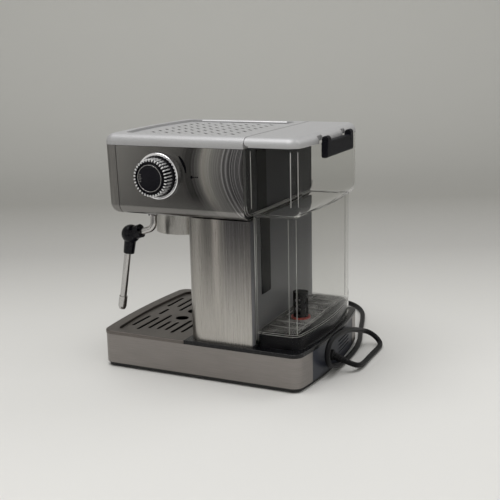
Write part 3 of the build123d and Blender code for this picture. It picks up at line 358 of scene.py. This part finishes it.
steel_front = brushed("steel_front_dark", (0.27, 0.262, 0.252), (0.18, 0.175, 0.168), 0.30, (260, 260, 3), 0.4, 0.08, 0.25)
steel_v = brushed("steel_brushed_upright", (0.56, 0.545, 0.52), (0.38, 0.37, 0.35), 0.27)
steel_head = brushed("steel_brushed_head", (0.50, 0.49, 0.475), (0.34, 0.33, 0.32), 0.22)
steel_band = brushed("steel_brushed_band", (0.315, 0.292, 0.277), (0.225, 0.21, 0.20), 0.34, (3, 3, 260), 0.4, 0.08, 0.0)
steel_dark = brushed("steel_tray_dark", (0.20, 0.18, 0.167), (0.125, 0.112, 0.104), 0.36, (260, 4, 4), 0.4, 0.08, 0.0)
steel_tube = metal("steel_tube", (0.55, 0.54, 0.53), 0.20, 0.15, 500)
chrome = metal("chrome_plate", (0.88, 0.88, 0.90), 0.07, 0.03, 60, 0.01)
alloy = metal("cast_alloy", (0.62, 0.63, 0.64), 0.42, 0.2, 700, 0.25)
brass = metal("brass_machined", (0.74, 0.56, 0.28), 0.30, 0.15, 500, 0.05)
screw_steel = metal("screw_steel", (0.55, 0.55, 0.56), 0.30, 0.15, 800, 0.05)
black = plastic("black_moulded", (0.008, 0.008, 0.009), 0.42, specular=0.14)
black_gloss = plastic("black_gloss", (0.004, 0.004, 0.007), 0.22, 400, 0.02, 0.0, specular=0.18)
handle_black = plastic("handle_black", (0.007, 0.007, 0.010), 0.45, 500, 0.05, 0.0, specular=0.08)
stripe_black = plastic("stripe_black", (0.003, 0.003, 0.004), 0.55, 500, 0.02, 0.0, specular=0.08)
deck_black = plastic("deck_black", (0.006, 0.006, 0.007), 0.26, 700, 0.04, 0.0, specular=0.28)
slate = plastic("slate_moulded", (0.024, 0.027, 0.038), 0.38, specular=0.35)
seat_black = plastic("seat_black", (0.010, 0.010, 0.013), 0.5, specular=0.15)
back_grey = plastic("back_wall_grey", (0.022, 0.023, 0.028), 0.5, specular=0.15)
# painted light and shade: the lower back panel is coloured light grey at the bottom, grading to near black at the top
back_m = Mat("back_wall_lower", Roughness=0.5)
back_m.p.inputs["Specular IOR Level"].default_value = 0.2
bxyz = back_m.new("ShaderNodeSeparateXYZ")
back_m.wire(back_m.pos, bxyz.inputs[0])
bz = back_m.new("ShaderNodeMapRange")
bz.inputs["From Min"].default_value = 0.05
bz.inputs["From Max"].default_value = 0.21
back_m.wire(bxyz.outputs["Z"], bz.inputs["Value"])
back_m.wire(back_m.ramp(bz.outputs[0], [(0.0, (0.34, 0.34, 0.36)), (0.35, (0.26, 0.26, 0.275)), (0.7, (0.13, 0.132, 0.142)), (1.0, (0.06, 0.061, 0.068))]), back_m.p.inputs["Base Color"])
back_m.wire(back_m.range(back_m.noise(400, (1, 1, 1), 3.0, 0.5), 0.45, 0.56), back_m.p.inputs["Roughness"])
back_low = back_m.m
rubber = plastic("foot_rubber", (0.016, 0.016, 0.016), 0.75, 1200, 0.2)
cord_skin = plastic("cord_pvc", (0.006, 0.006, 0.007), 0.42, 1500, 0.05, 0.0, specular=0.14)
silicone_red = plastic("silicone_red", (0.36, 0.055, 0.045), 0.45, 600, 0.05)
silicone_clear = plastic("silicone_milky", (0.62, 0.62, 0.58), 0.35, 500, 0.04)
board_green = plastic("board_mask", (0.02, 0.12, 0.05), 0.35, 1500, 0.05)
print_black = plastic("print_black", (0.002, 0.002, 0.003), 0.6, 1500, 0.02, 0.0, specular=0.03)


def silver_paint():
    m = Mat("silver_paint", Metallic=0.35, Coat_Weight=0.08, Coat_Roughness=0.3)
    flake = m.noise(2600.0, (1, 1, 1), 1.0, 0.5)
    broad = m.noise(7.0, (1, 1, 1), 2.0, 0.5)
    mix = m.new("ShaderNodeMix", data_type="RGBA", blend_type="MULTIPLY")
    mix.inputs["Factor"].default_value = 0.35
    m.wire(m.ramp(flake, [(0.35, (0.38, 0.38, 0.385)), (0.65, (0.49, 0.49, 0.50))]), mix.inputs[6])
    m.wire(m.ramp(broad, [(0.3, (0.93, 0.93, 0.93)), (0.7, (1, 1, 1))]), mix.inputs[7])
    m.wire(mix.outputs[2], m.p.inputs["Base Color"])
    m.wire(m.range(flake, 0.40, 0.52), m.p.inputs["Roughness"])
    m.bump(flake, 0.04, 0.0001)
    return m.m


def clear_plastic():
    m = Mat("clear_tank", Roughness=0.03, IOR=1.07)
    m.p.inputs["Transmission Weight"].default_value = 1.0
    haze = m.noise(5.0, (1, 1, 0.4), 3.0, 0.55)
    m.wire(m.ramp(haze, [(0.3, (0.86, 0.86, 0.85)), (0.7, (0.91, 0.91, 0.90))]), m.p.inputs["Base Color"])
    wave = m.noise(26.0, (1, 1, 0.25), 2.0, 0.5)
    m.bump(wave, 0.15, 0.0008)
    return m.m


# pale, half transparent material for the painted highlights on the tank's edges
def edge_light():
    m = Mat("clear_edge_highlights", Roughness=0.2)
    m.p.inputs["Alpha"].default_value = 0.55
    v = m.noise(60.0, (1, 1, 0.3), 3.0, 0.6)
    m.wire(m.ramp(v, [(0.3, (0.42, 0.42, 0.41)), (0.7, (0.72, 0.71, 0.69))]), m.p.inputs["Base Color"])
    m.wire(m.range(v, 0.1, 0.35), m.p.inputs["Roughness"])
    return m.m


silver = silver_paint()
clear = clear_plastic()
edge_highlight_mat = edge_light()
# painted highlight: the rim studs and flank ribs are near white and only half metallic, so they look bright all round
# where chrome would mirror the dark card
stud_painted_glint = metal("stud_painted_glint", (0.86, 0.86, 0.87), 0.28, 0.10, 900)
stud_painted_glint.node_tree.nodes["Principled BSDF"].inputs["Metallic"].default_value = 0.55

GIVE = {
    "base_pan": rubber, "base_band": steel_band, "base_rear_panel": slate, "rubber_feet": rubber,
    "base_top_frame": steel_dark, "drip_grid": steel_dark, "drip_tray": black, "tray_fascia": steel_band,
    "base_deck": deck_black, "base_screws": screw_steel, "column_shell": steel_column_painted,
    "column_back_panel": back_low, "rear_duct_cover": stripe_black, "head_shell": steel_side_painted,
    "front_panel": steel_front, "head_bottom_cover": black, "head_back_panel": back_grey, "head_lid": silver,
    "cup_warmer_plate": silver, "group_shroud": steel_v, "group_head": alloy, "group_gasket": rubber,
    "shower_screen": steel_tube, "shower_screw": screw_steel, "boiler_lower": alloy, "boiler_seal": silicone_red,
    "boiler_upper": alloy, "boiler_bolts": screw_steel, "thermostats": black, "steam_valve": brass,
    "valve_stem": brass, "knob_bezel": chrome, "steam_knob": black_gloss, "knob_ribs": chrome,
    "wand_tube": steel_tube, "wand_grip": black_gloss, "wand_tip": steel_tube, "wand_nut": chrome,
    "wand_coupling": brass, "pump_mounts": rubber, "pump": black, "inlet_hose": silicone_clear,
    "pressure_hose": silicone_clear, "steam_pipes": steel_tube, "control_board": board_green,
    "button_left": black_gloss, "button_middle": black_gloss, "button_right": black_gloss,
    "tank_seat": seat_black, "inlet_socket": black, "inlet_seal": silicone_red, "tank_shell": clear,
    "tank_valve_body": silicone_red, "valve_plunger": black, "tank_filter": black, "tank_lid": silver,
    "tank_handle": handle_black, "strain_relief": cord_skin, "power_cord": cord_skin, "power_plug": cord_skin,
}
for name, o in N.items():
    o.data.materials.clear()
    o.data.materials.append(GIVE[name])
    auto_smooth(o, 32)

# ------------------------------------------------------------------ cord
CORD_ROUTE = [
    (16.5, 164, 16.5), (13.1, 173.78, 11.6), (3.8, 178.6, 7.6), (-10, 179.4, 4.9), (-28, 178.6, 3.8),
    (-49, 178.2, 3.6), (-72, 178.6, 3.6), (-93, 178.2, 3.8), (-101.4, 173.4, 7.0), (-104.5, 165.6, 12.6),
    (-101.2, 157.8, 18.2), (-93, 153, 21.8), (-77, 152.8, 27.5), (-57, 153, 34.5), (-35, 153.4, 41),
    (-12, 153.6, 46.2), (12, 153.8, 49.4), (29, 153.9, 50.2), (42, 154, 49.2), (51, 154.1, 43.2),
    (54.4, 154.1, 33.5), (51.2, 154.1, 24), (43, 154, 17.6), (32, 153.9, 13.2), (20, 153.7, 9.6),
    (6, 153.4, 6.6), (-10, 153, 4.4), (-30, 152.7, 3.6), (-54, 151.8, 3.6), (-79, 149.4, 3.6),
    (-106, 143.6, 3.6), (-134, 135.2, 3.6), (-164, 126.5, 3.6), (-200, 117, 3.6), (-238, 104, 3.6),
    (-268, 80, 3.6), (-283, 44, 3.6), (-286, 4, 3.6), (-279, -40, 3.6), (-262, -82, 3.6),
    (-238, -114, 3.8), (-210, -131, 6.0), (-180, -133, 10),
]
curve = bpy.data.curves.new("mains_cord", "CURVE")
curve.dimensions = "3D"
spline = curve.splines.new("NURBS")
spline.points.add(len(CORD_ROUTE) - 1)
for p, q in zip(spline.points, CORD_ROUTE):
    p.co = (q[0] * MM, q[1] * MM, q[2] * MM, 1)
spline.order_u = 3
spline.use_endpoint_u = True
spline.resolution_u = 12
curve.bevel_depth = 0.0035
curve.bevel_resolution = 8
curve.use_fill_caps = True
curve.materials.append(cord_skin)
cord = link(bpy.data.objects.new("mains_cord", curve), "chassis")
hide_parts("power_cord")

# strain relief: flange, then a tapered boot with moulded rings
RELIEF_ROOT, RELIEF_END = Vector((0.022, 0.1482, 0.0244)), Vector((0.0165, 0.164, 0.0165))
relief_axis = (RELIEF_END - RELIEF_ROOT).normalized()
boot = [(-0.0015, 0.0), (-0.0015, 0.0057)]
for k in range(5):
    base = 0.0006 + 0.0036 * k
    rr = 0.0056 - 0.00027 * k
    boot += [(base, rr), (base + 0.0022, rr - 0.0001), (base + 0.0025, rr - 0.0011), (base + 0.0033, rr - 0.0012)]
boot += [(0.0186, 0.0042), (0.0190, 0.0039), (0.0190, 0.0)]
bm = bmesh.new()
lathe(bm, RELIEF_ROOT, relief_axis, boot, 48)
lathe(bm, (0.022, 0.1470, 0.024), (0, 1, 0), rounded([(0, 0), (0, 0.0072), (0.0044, 0.0072), (0.0047, 0.0058), (0.0047, 0)], 0.0006), 64)
relief = mesh_obj("strain_relief_boot", bm, cord_skin, "chassis")
auto_smooth(relief, 40)
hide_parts("strain_relief")

# plug: tapered tail, ribbed grip and two flat pins
plug_end = Vector(CORD_ROUTE[-1]) * MM
plug_axis = Vector((0.90, 0.4359, 0)).normalized()
plug_side = Vector((0, 0, 1)).cross(plug_axis).normalized()


def plug_ring(bm, along, half_w, half_h, power, n=48):
    ring = []
    for i in range(n):
        a = 2 * math.pi * i / n
        c, d = math.cos(a), math.sin(a)
        w = half_w * abs(c) ** power * (1 if c > 0 else -1)
        h = half_h * abs(d) ** power * (1 if d > 0 else -1)
        ring.append(bm.verts.new(plug_end + plug_axis * along + plug_side * w + Vector((0, 0, h))))
    return ring


bm = bmesh.new()
rings = [plug_ring(bm, h, w, z, p) for h, w, z, p in (
    (0.0, 0.0040, 0.0040, 1.0), (0.003, 0.0045, 0.0045, 1.0), (0.0032, 0.0050, 0.0050, 1.0), (0.006, 0.0050, 0.0050, 1.0),
    (0.0063, 0.0044, 0.0044, 1.0), (0.0075, 0.0045, 0.0045, 1.0), (0.0078, 0.0054, 0.0053, 1.0), (0.0105, 0.0056, 0.0055, 1.0),
    (0.0108, 0.0050, 0.0049, 1.0), (0.012, 0.0052, 0.0051, 0.95), (0.0135, 0.0075, 0.0066, 0.8), (0.0150, 0.0105, 0.0080, 0.62),
    (0.0175, 0.0120, 0.0089, 0.5), (0.021, 0.0122, 0.0090, 0.46), (0.0215, 0.0118, 0.0086, 0.46), (0.0222, 0.0118, 0.0086, 0.46),
    (0.0227, 0.0123, 0.0091, 0.46), (0.0250, 0.0123, 0.0091, 0.46), (0.0255, 0.0119, 0.0087, 0.46), (0.0262, 0.0119, 0.0087, 0.46),
    (0.0267, 0.0124, 0.0092, 0.44), (0.0350, 0.0127, 0.0093, 0.42), (0.0370, 0.0125, 0.0091, 0.42), (0.0378, 0.0117, 0.0083, 0.44))]
for p, q in zip(rings, rings[1:]):
    for i in range(48):
        j = (i + 1) % 48
        bm.faces.new((p[i], p[j], q[j], q[i]))
bm.faces.new(rings[0][::-1])
bm.faces.new(rings[-1])
plug = mesh_obj("plug_body", bm, cord_skin, "chassis")
auto_smooth(plug, 40)
bm = bmesh.new()
for side in (-1, 1):
    pin = [plug_ring(bm, h, 0.00075 * k, 0.00315 * k2, 0.3, 24) for h, k, k2 in ((0.0372, 1, 1), (0.0528, 1, 1), (0.0536, 0.8, 0.9), (0.0540, 0.4, 0.8))]
    for ring in pin:
        for v in ring:
            v.co += plug_side * 0.0063 * side
    for p, q in zip(pin, pin[1:]):
        for i in range(24):
            j = (i + 1) % 24
            bm.faces.new((p[i], p[j], q[j], q[i]))
    bm.faces.new(pin[0][::-1])
    bm.faces.new(pin[-1])
pins = mesh_obj("plug_pins", bm, brass, "chassis")
auto_smooth(pins, 40)
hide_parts("power_plug")

# ------------------------------------------------------------------ steam knob
KX, KY, KZ = 0.109, -0.045, 0.260
bm = bmesh.new()
body_profile = [(0.0007, 0.0), (0.0007, 0.0232), (0.0012, 0.0238), (0.0046, 0.0236), (0.0054, 0.0225), (0.0060, 0.0218),
                (0.0205, 0.0216), (0.0216, 0.0212), (0.0219, 0.0203), (0.0216, 0.0196), (0.0206, 0.0191), (0.0205, 0.0186),
                (0.0206, 0.0181), (0.0220, 0.0178), (0.0226, 0.0172), (0.0227, 0.0150), (0.0227, 0.0090), (0.0227, 0.0)]
lathe(bm, (KX, KY, KZ), (1, 0, 0), body_profile, 128)
knob = mesh_obj("knob_body", bm, black_gloss, "steam_knob")
auto_smooth(knob, 40)
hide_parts("steam_knob")


def knob_teeth(name, outline, count, width, taper, mat):
    """Teeth round the knob: outline in (along, radius), extruded across the rim."""
    bm = bmesh.new()
    for k in range(count):
        a = 2 * math.pi * (k + 0.5) / count
        out = Vector((0, math.cos(a), math.sin(a)))
        side = Vector((0, -math.sin(a), math.cos(a)))
        rings = []
        for off, shrink in ((-width / 2, taper), (-width / 2 * 0.55, 0.0), (width / 2 * 0.55, 0.0), (width / 2, taper)):
            ring = []
            cx = sum(p[0] for p in outline) / len(outline)
            cr = sum(p[1] for p in outline) / len(outline)
            for x, r in outline:
                x2, r2 = x + (cx - x) * shrink, r + (cr - r) * shrink
                ring.append(bm.verts.new(Vector((KX, KY, KZ)) + Vector((1, 0, 0)) * x2 + out * r2 + side * off))
            rings.append(ring)
        n = len(outline)
        for p, q in zip(rings, rings[1:]):
            for i in range(n):
                j = (i + 1) % n
                bm.faces.new((p[i], p[j], q[j], q[i]))
        bm.faces.new(rings[0][::-1])
        bm.faces.new(rings[-1])
    o = mesh_obj(name, bm, mat, "steam_knob")
    return auto_smooth(o, 50)


studs = knob_teeth("knob_rim_studs", [(0.0196, 0.0210), (0.0196, 0.0230), (0.0206, 0.0234), (0.0217, 0.0231), (0.0223, 0.0222), (0.0222, 0.0205), (0.0214, 0.0200)], 34, 0.0015, 0.14, stud_painted_glint)
ribs = knob_teeth("knob_flank_ribs", [(0.0075, 0.0212), (0.0075, 0.0229), (0.0081, 0.0235), (0.0165, 0.0236), (0.0174, 0.0232), (0.0174, 0.0212)], 34, 0.0014, 0.04, stud_painted_glint)
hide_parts("knob_ribs")
bm = bmesh.new()
lathe(bm, (KX, KY, KZ), (1, 0, 0), rounded([(0.0218, 0.0166), (0.02284, 0.0166), (0.02288, 0.0163), (0.02284, 0.0160), (0.0218, 0.0160)], 0.0001, 2), 128)
ring = mesh_obj("knob_face_line", bm, steel_tube, "steam_knob")
# a raised pointer mark near the rim of the face
bm = bmesh.new()
for k in range(-2, 3):
    a = math.pi + k * 0.16
    out = Vector((0, math.cos(a), math.sin(a)))
    side = Vector((0, -math.sin(a), math.cos(a)))
    long = 0.0026 if k else 0.0042
    prism(bm, [(0.0150 - long, -0.00022), (0.0150, -0.00022), (0.0150, 0.00022), (0.0150 - long, 0.00022)], 0.0224, 0.02286,
          lambda r, w, h, out=out, side=side: Vector((KX + h, KY, KZ)) + out * r + side * w)
ticks = mesh_obj("knob_ticks", bm, steel_tube, "steam_knob", smooth=False)

# ------------------------------------------------------------------ printed marks, all generic
bm = bmesh.new()


def on_side(y, z, h):
    return Vector((KX + h, y, z))


# growing wedge that shows how far the steam is open
arc = []
for k in range(17):
    a = math.radians(41 - k * 2.1)
    w = 0.0004 + 0.0013 * math.sin(math.pi * min(1, k / 16) ** 0.8)
    arc.append((a, w))
outer = [(KY + (0.0385 + w) * math.cos(a), KZ + (0.0385 + w) * math.sin(a)) for a, w in arc]
inner = [(KY + (0.0385 - w) * math.cos(a), KZ + (0.0385 - w) * math.sin(a)) for a, w in arc]
prism(bm, outer + inner[::-1], -0.0001, 0.0005, on_side)
# drop and three dots
drop = []
for k in range(24):
    t = 2 * math.pi * k / 24
    drop.append((0.0008 + 0.0013 * math.cos(t) * (1 - 0.4 * math.sin(t)), 0.2605 + 0.0019 * math.sin(t)))
prism(bm, drop, -0.0001, 0.0005, on_side)
for y in (0.0038, 0.0062, 0.0086):
    prism(bm, [(y + 0.0007 * math.cos(2 * math.pi * k / 16), 0.2604 + 0.0007 * math.sin(2 * math.pi * k / 16)) for k in range(16)], -0.0001, 0.0005, on_side)
prism(bm, [(-0.0786 + 0.0009 * math.cos(2 * math.pi * k / 16), 0.2625 + 0.0009 * math.sin(2 * math.pi * k / 16)) for k in range(16)], -0.0001, 0.0005, on_side)
mesh_obj("side_print", bm, print_black, "chassis", smooth=False)

# cup marks on the buttons: one drop, two drops, three rising lines
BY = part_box("button_middle")[0][1]
BZ = 0.256
for body, x0, kind in (("button_left", -0.038, 1), ("button_middle", 0.0, 2), ("button_right", 0.038, 3)):
    bm = bmesh.new()

    def on_button(x, z, h, x0=x0):
        return Vector((x0 + x, BY - h + 0.0001, BZ + z))

    if kind < 3:
        for dx in ((0,) if kind == 1 else (-0.0026, 0.0026)):
            pts = [(dx + 0.0017 * math.cos(t) * (1 - 0.45 * math.sin(t)), 0.0026 * math.sin(t)) for t in (2 * math.pi * k / 28 for k in range(28))]
            prism(bm, pts, 0.0, 0.00012, on_button)
    else:
        for dx in (-0.0028, 0, 0.0028):
            left = [(dx + 0.0008 * math.sin(k / 12 * 2 * math.pi) - 0.0004, -0.0034 + 0.0068 * k / 12) for k in range(13)]
            rite = [(x + 0.0008, z) for x, z in left]
            prism(bm, left + rite[::-1], 0.0, 0.00012, on_button)
    mesh_obj("mark_" + body, bm, silver, body, smooth=False)

# ------------------------------------------------------------------ top tray: far rail, partly a painted highlight, and painted shade under the holes
# a thin rail along the tray's far edge, coloured near white and part matt: partly a raised rail, partly a painted
# highlight of the far inner wall
rail_m = metal("rail_painted_highlight", (0.93, 0.93, 0.94), 0.25, 0.08, 700)
rail_m.node_tree.nodes["Principled BSDF"].inputs["Metallic"].default_value = 0.25
bm = bmesh.new()
lathe(bm, (-0.0894, -0.0880, 0.30865), (0, 1, 0), rounded([(0, 0), (0, 0.0011), (0.1310, 0.0011), (0.1310, 0)], 0.0008, 3), 24)
rail = mesh_obj("tray_far_rail", bm, rail_m, "chassis")
# painted shade: a black sheet just below the top of the cup warmer plate darkens its holes
plate_low, plate_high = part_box("cup_warmer_plate")
bm = bmesh.new()
zt = plate_high[2] - 0.0006
prism(bm, [(plate_low[0] + 0.012, plate_low[1] + 0.016), (plate_high[0] - 0.012, plate_low[1] + 0.016),
           (plate_high[0] - 0.012, plate_high[1] - 0.010), (plate_low[0] + 0.012, plate_high[1] - 0.010)], zt - 0.0003, zt,
      lambda x, y, z: Vector((x, y, z)))
under = mesh_obj("tray_hole_painted_shade", bm, stripe_black, "chassis", smooth=False)

# ------------------------------------------------------------------ painted highlights: thin pale tubes along the tank's crisp edges stand in for light caught on them
src = bmesh.new()
src.from_mesh(N["tank_shell"].data)
bmesh.ops.remove_doubles(src, verts=src.verts, dist=2e-5)
bm = bmesh.new()


def strip(bm, p, q, r, n=6):
    axis, u, v = frame_of(q - p)
    a = [bm.verts.new(p + (u * math.cos(2 * math.pi * i / n) + v * math.sin(2 * math.pi * i / n)) * r) for i in range(n)]
    b = [bm.verts.new(q + (u * math.cos(2 * math.pi * i / n) + v * math.sin(2 * math.pi * i / n)) * r) for i in range(n)]
    for i in range(n):
        j = (i + 1) % n
        bm.faces.new((a[i], a[j], b[j], b[i]))
    bm.faces.new(a[::-1])
    bm.faces.new(b)


for e in src.edges:
    if len(e.link_faces) != 2 or e.calc_length() < 4e-4:
        continue
    if e.calc_face_angle(0.0) > math.radians(50):
        p, q = e.verts[0].co.copy(), e.verts[1].co.copy()
        if max(p.z, q.z) < 0.2965 and min(p.z, q.z) > 0.052:
            strip(bm, p, q, 0.00042)
src.free()
# painted highlights: vertical pale lines at the tank's rounded corners and front edges
for x, y, z0, z1, r in ((0.1068, 0.0790, 0.226, 0.294, 0.0005), (0.1080, 0.1300, 0.230, 0.294, 0.0006),
                        (0.1020, 0.1368, 0.230, 0.294, 0.0005), (0.0930, 0.1200, 0.070, 0.212, 0.0005),
                        (0.0905, 0.1290, 0.070, 0.212, 0.0005), (0.0946, 0.0762, 0.058, 0.213, 0.0006),
                        (0.0944, 0.0785, 0.058, 0.213, 0.0004), (-0.0940, 0.1250, 0.070, 0.212, 0.0005)):
    strip(bm, Vector((x, y, z0)), Vector((x, y, z1)), r)
# painted sheen: a pale, mottled, half transparent sheet lightens the tank floor, with low ribs drawn as pale highlight
# strips
floor_bm = bmesh.new()
fp = []
for cx, cy, a0 in ((0.0795, 0.0870, -90), (0.0795, 0.1190, 0), (-0.0795, 0.1190, 90), (-0.0795, 0.0870, 180)):
    for k in range(9):
        a = math.radians(a0 + 90 * k / 8)
        fp.append((cx + 0.009 * math.cos(a), cy + 0.009 * math.sin(a)))
prism(floor_bm, fp, 0.0691, 0.0695, lambda x, y, z: Vector((x, y, z)))
for x0 in (-0.066, -0.044, -0.022, 0.044, 0.066):
    strip(bm, Vector((x0, 0.082, 0.0700)), Vector((x0 + 0.004, 0.124, 0.0700)), 0.0005)
strip(bm, Vector((-0.084, 0.0860, 0.0702)), Vector((0.020, 0.0860, 0.0702)), 0.0006)
strip(bm, Vector((-0.084, 0.1240, 0.0702)), Vector((0.080, 0.1240, 0.0702)), 0.0006)
floor_sheen = Mat("tank_floor_painted_sheen", Roughness=0.25)
floor_sheen.p.inputs["Alpha"].default_value = 0.5
fn = floor_sheen.noise(34.0, (1, 1, 1), 4.0, 0.6)
floor_sheen.wire(floor_sheen.ramp(fn, [(0.32, (0.13, 0.125, 0.12)), (0.5, (0.30, 0.295, 0.285)), (0.72, (0.62, 0.61, 0.59))]), floor_sheen.p.inputs["Base Color"])
floor_sheen.bump(fn, 0.3, 0.001)
fme = bpy.data.meshes.new("tank_floor_painted_sheen")
bmesh.ops.recalc_face_normals(floor_bm, faces=floor_bm.faces)
floor_bm.to_mesh(fme)
floor_bm.free()
tank_floor = bpy.data.objects.new("tank_floor_painted_sheen", fme)
tank_floor.data.materials.append(floor_sheen.m)
link(tank_floor, "water_tank")
me = bpy.data.meshes.new("tank_edge_highlights")
bm.to_mesh(me)
bm.free()
tank_edge_highlights = bpy.data.objects.new("tank_edge_highlights", me)
tank_edge_highlights.data.materials.append(edge_highlight_mat)
link(tank_edge_highlights, "water_tank")

# ------------------------------------------------------------------ stage and light
bm = bmesh.new()
sweep = [(0.0, 0.0), (0.0, 0.4), (0.0, 0.9), (0.0, 1.5)]
for k in range(1, 13):
    a = math.radians(90 * k / 12)
    sweep.append((0.9 * (1 - math.cos(a)), 1.5 + 0.9 * math.sin(a)))
sweep += [(1.3, 2.4), (1.9, 2.42)]
lathe(bm, (0, 0, 0), (0, 0, 1), sweep, 96)
# painted light and shade on the stage: the floor and sweep are coloured by distance along the view, light near the
# camera, darkest about 1.2 m behind the machine and lighter again further back
floor_m = Mat("floor", Roughness=0.6)
floor_m.p.inputs["Specular IOR Level"].default_value = 0.3
fxyz = floor_m.new("ShaderNodeSeparateXYZ")
floor_m.wire(floor_m.pos, fxyz.inputs[0])
far_y = floor_m.new("ShaderNodeMath", operation="MULTIPLY")
far_y.inputs[1].default_value = -0.429
floor_m.wire(fxyz.outputs["Y"], far_y.inputs[0])
far = floor_m.new("ShaderNodeMath", operation="MULTIPLY_ADD")
far.inputs[1].default_value = -0.903
floor_m.wire(fxyz.outputs["X"], far.inputs[0])
floor_m.wire(far_y.outputs[0], far.inputs[2])
far_n = floor_m.new("ShaderNodeMapRange")
far_n.inputs["From Min"].default_value = -0.6
far_n.inputs["From Max"].default_value = 2.6
floor_m.wire(far.outputs[0], far_n.inputs["Value"])
floor_m.wire(floor_m.ramp(far_n.outputs[0], [(0.0, (0.76, 0.755, 0.735)), (0.16, (0.73, 0.725, 0.705)), (0.26, (0.60, 0.595, 0.575)), (0.38, (0.43, 0.425, 0.41)), (0.56, (0.34, 0.335, 0.315)), (0.66, (0.38, 0.377, 0.357)), (0.80, (0.48, 0.478, 0.455)), (1.0, (0.60, 0.598, 0.57))]), floor_m.p.inputs["Base Color"])
floor_m.wire(floor_m.range(floor_m.noise(60, (1, 1, 1), 3.0, 0.5), 0.55, 0.65), floor_m.p.inputs["Roughness"])
floor_mat = floor_m.m
me = bpy.data.meshes.new("floor")
bmesh.ops.recalc_face_normals(bm, faces=bm.faces)
bm.to_mesh(me)
bm.free()
for p in me.polygons:
    p.use_smooth = True
floor = bpy.data.objects.new("floor", me)
floor.data.materials.append(floor_mat)
bpy.context.scene.collection.objects.link(floor)


def card(name, points, color, z=0.0015):
    """A matt card lying on the table beside the machine, seen only in its reflections."""
    me = bpy.data.meshes.new(name)
    me.from_pydata([(x, y, z) for x, y in points], [], [tuple(range(len(points)))])
    o = bpy.data.objects.new(name, me)
    o.data.materials.append(plastic(name, color, 0.8, 60, 0.01))
    bpy.context.scene.collection.objects.link(o)
    o.visible_camera = False
    o.visible_transmission = False
    o.visible_diffuse = False
    o.visible_shadow = False
    return o


card("dark_card", [(0.62, -1.35), (1.2, -1.3), (1.35, -0.6), (1.45, 0.3), (1.2, 0.85), (0.62, 0.9)], (0.05, 0.048, 0.05))

world = bpy.data.worlds.new("studio")
bpy.context.scene.world = world
world.use_nodes = True
bg = world.node_tree.nodes["Background"]
bg.inputs["Color"].default_value = (0.80, 0.79, 0.775, 1)
bg.inputs["Strength"].default_value = 0.62


def area(name, loc, aim, size, power, color=(1, 1, 1)):
    d = bpy.data.lights.new(name, "AREA")
    d.shape = "RECTANGLE"
    d.size, d.size_y = size
    d.energy = power
    d.color = color
    o = bpy.data.objects.new(name, d)
    bpy.context.scene.collection.objects.link(o)
    o.location = loc
    o.rotation_euler = (Vector(aim) - Vector(loc)).to_track_quat("-Z", "Y").to_euler()
    return o


area("key", (0.35, -0.2, 2.3), (0, 0, 0.1), (1.9, 1.5), 32)
area("fill", (-1.3, 1.2, 1.7), (0, 0, 0.15), (1.2, 1.2), 8)

bpy.context.scene.view_settings.view_transform = "Standard"

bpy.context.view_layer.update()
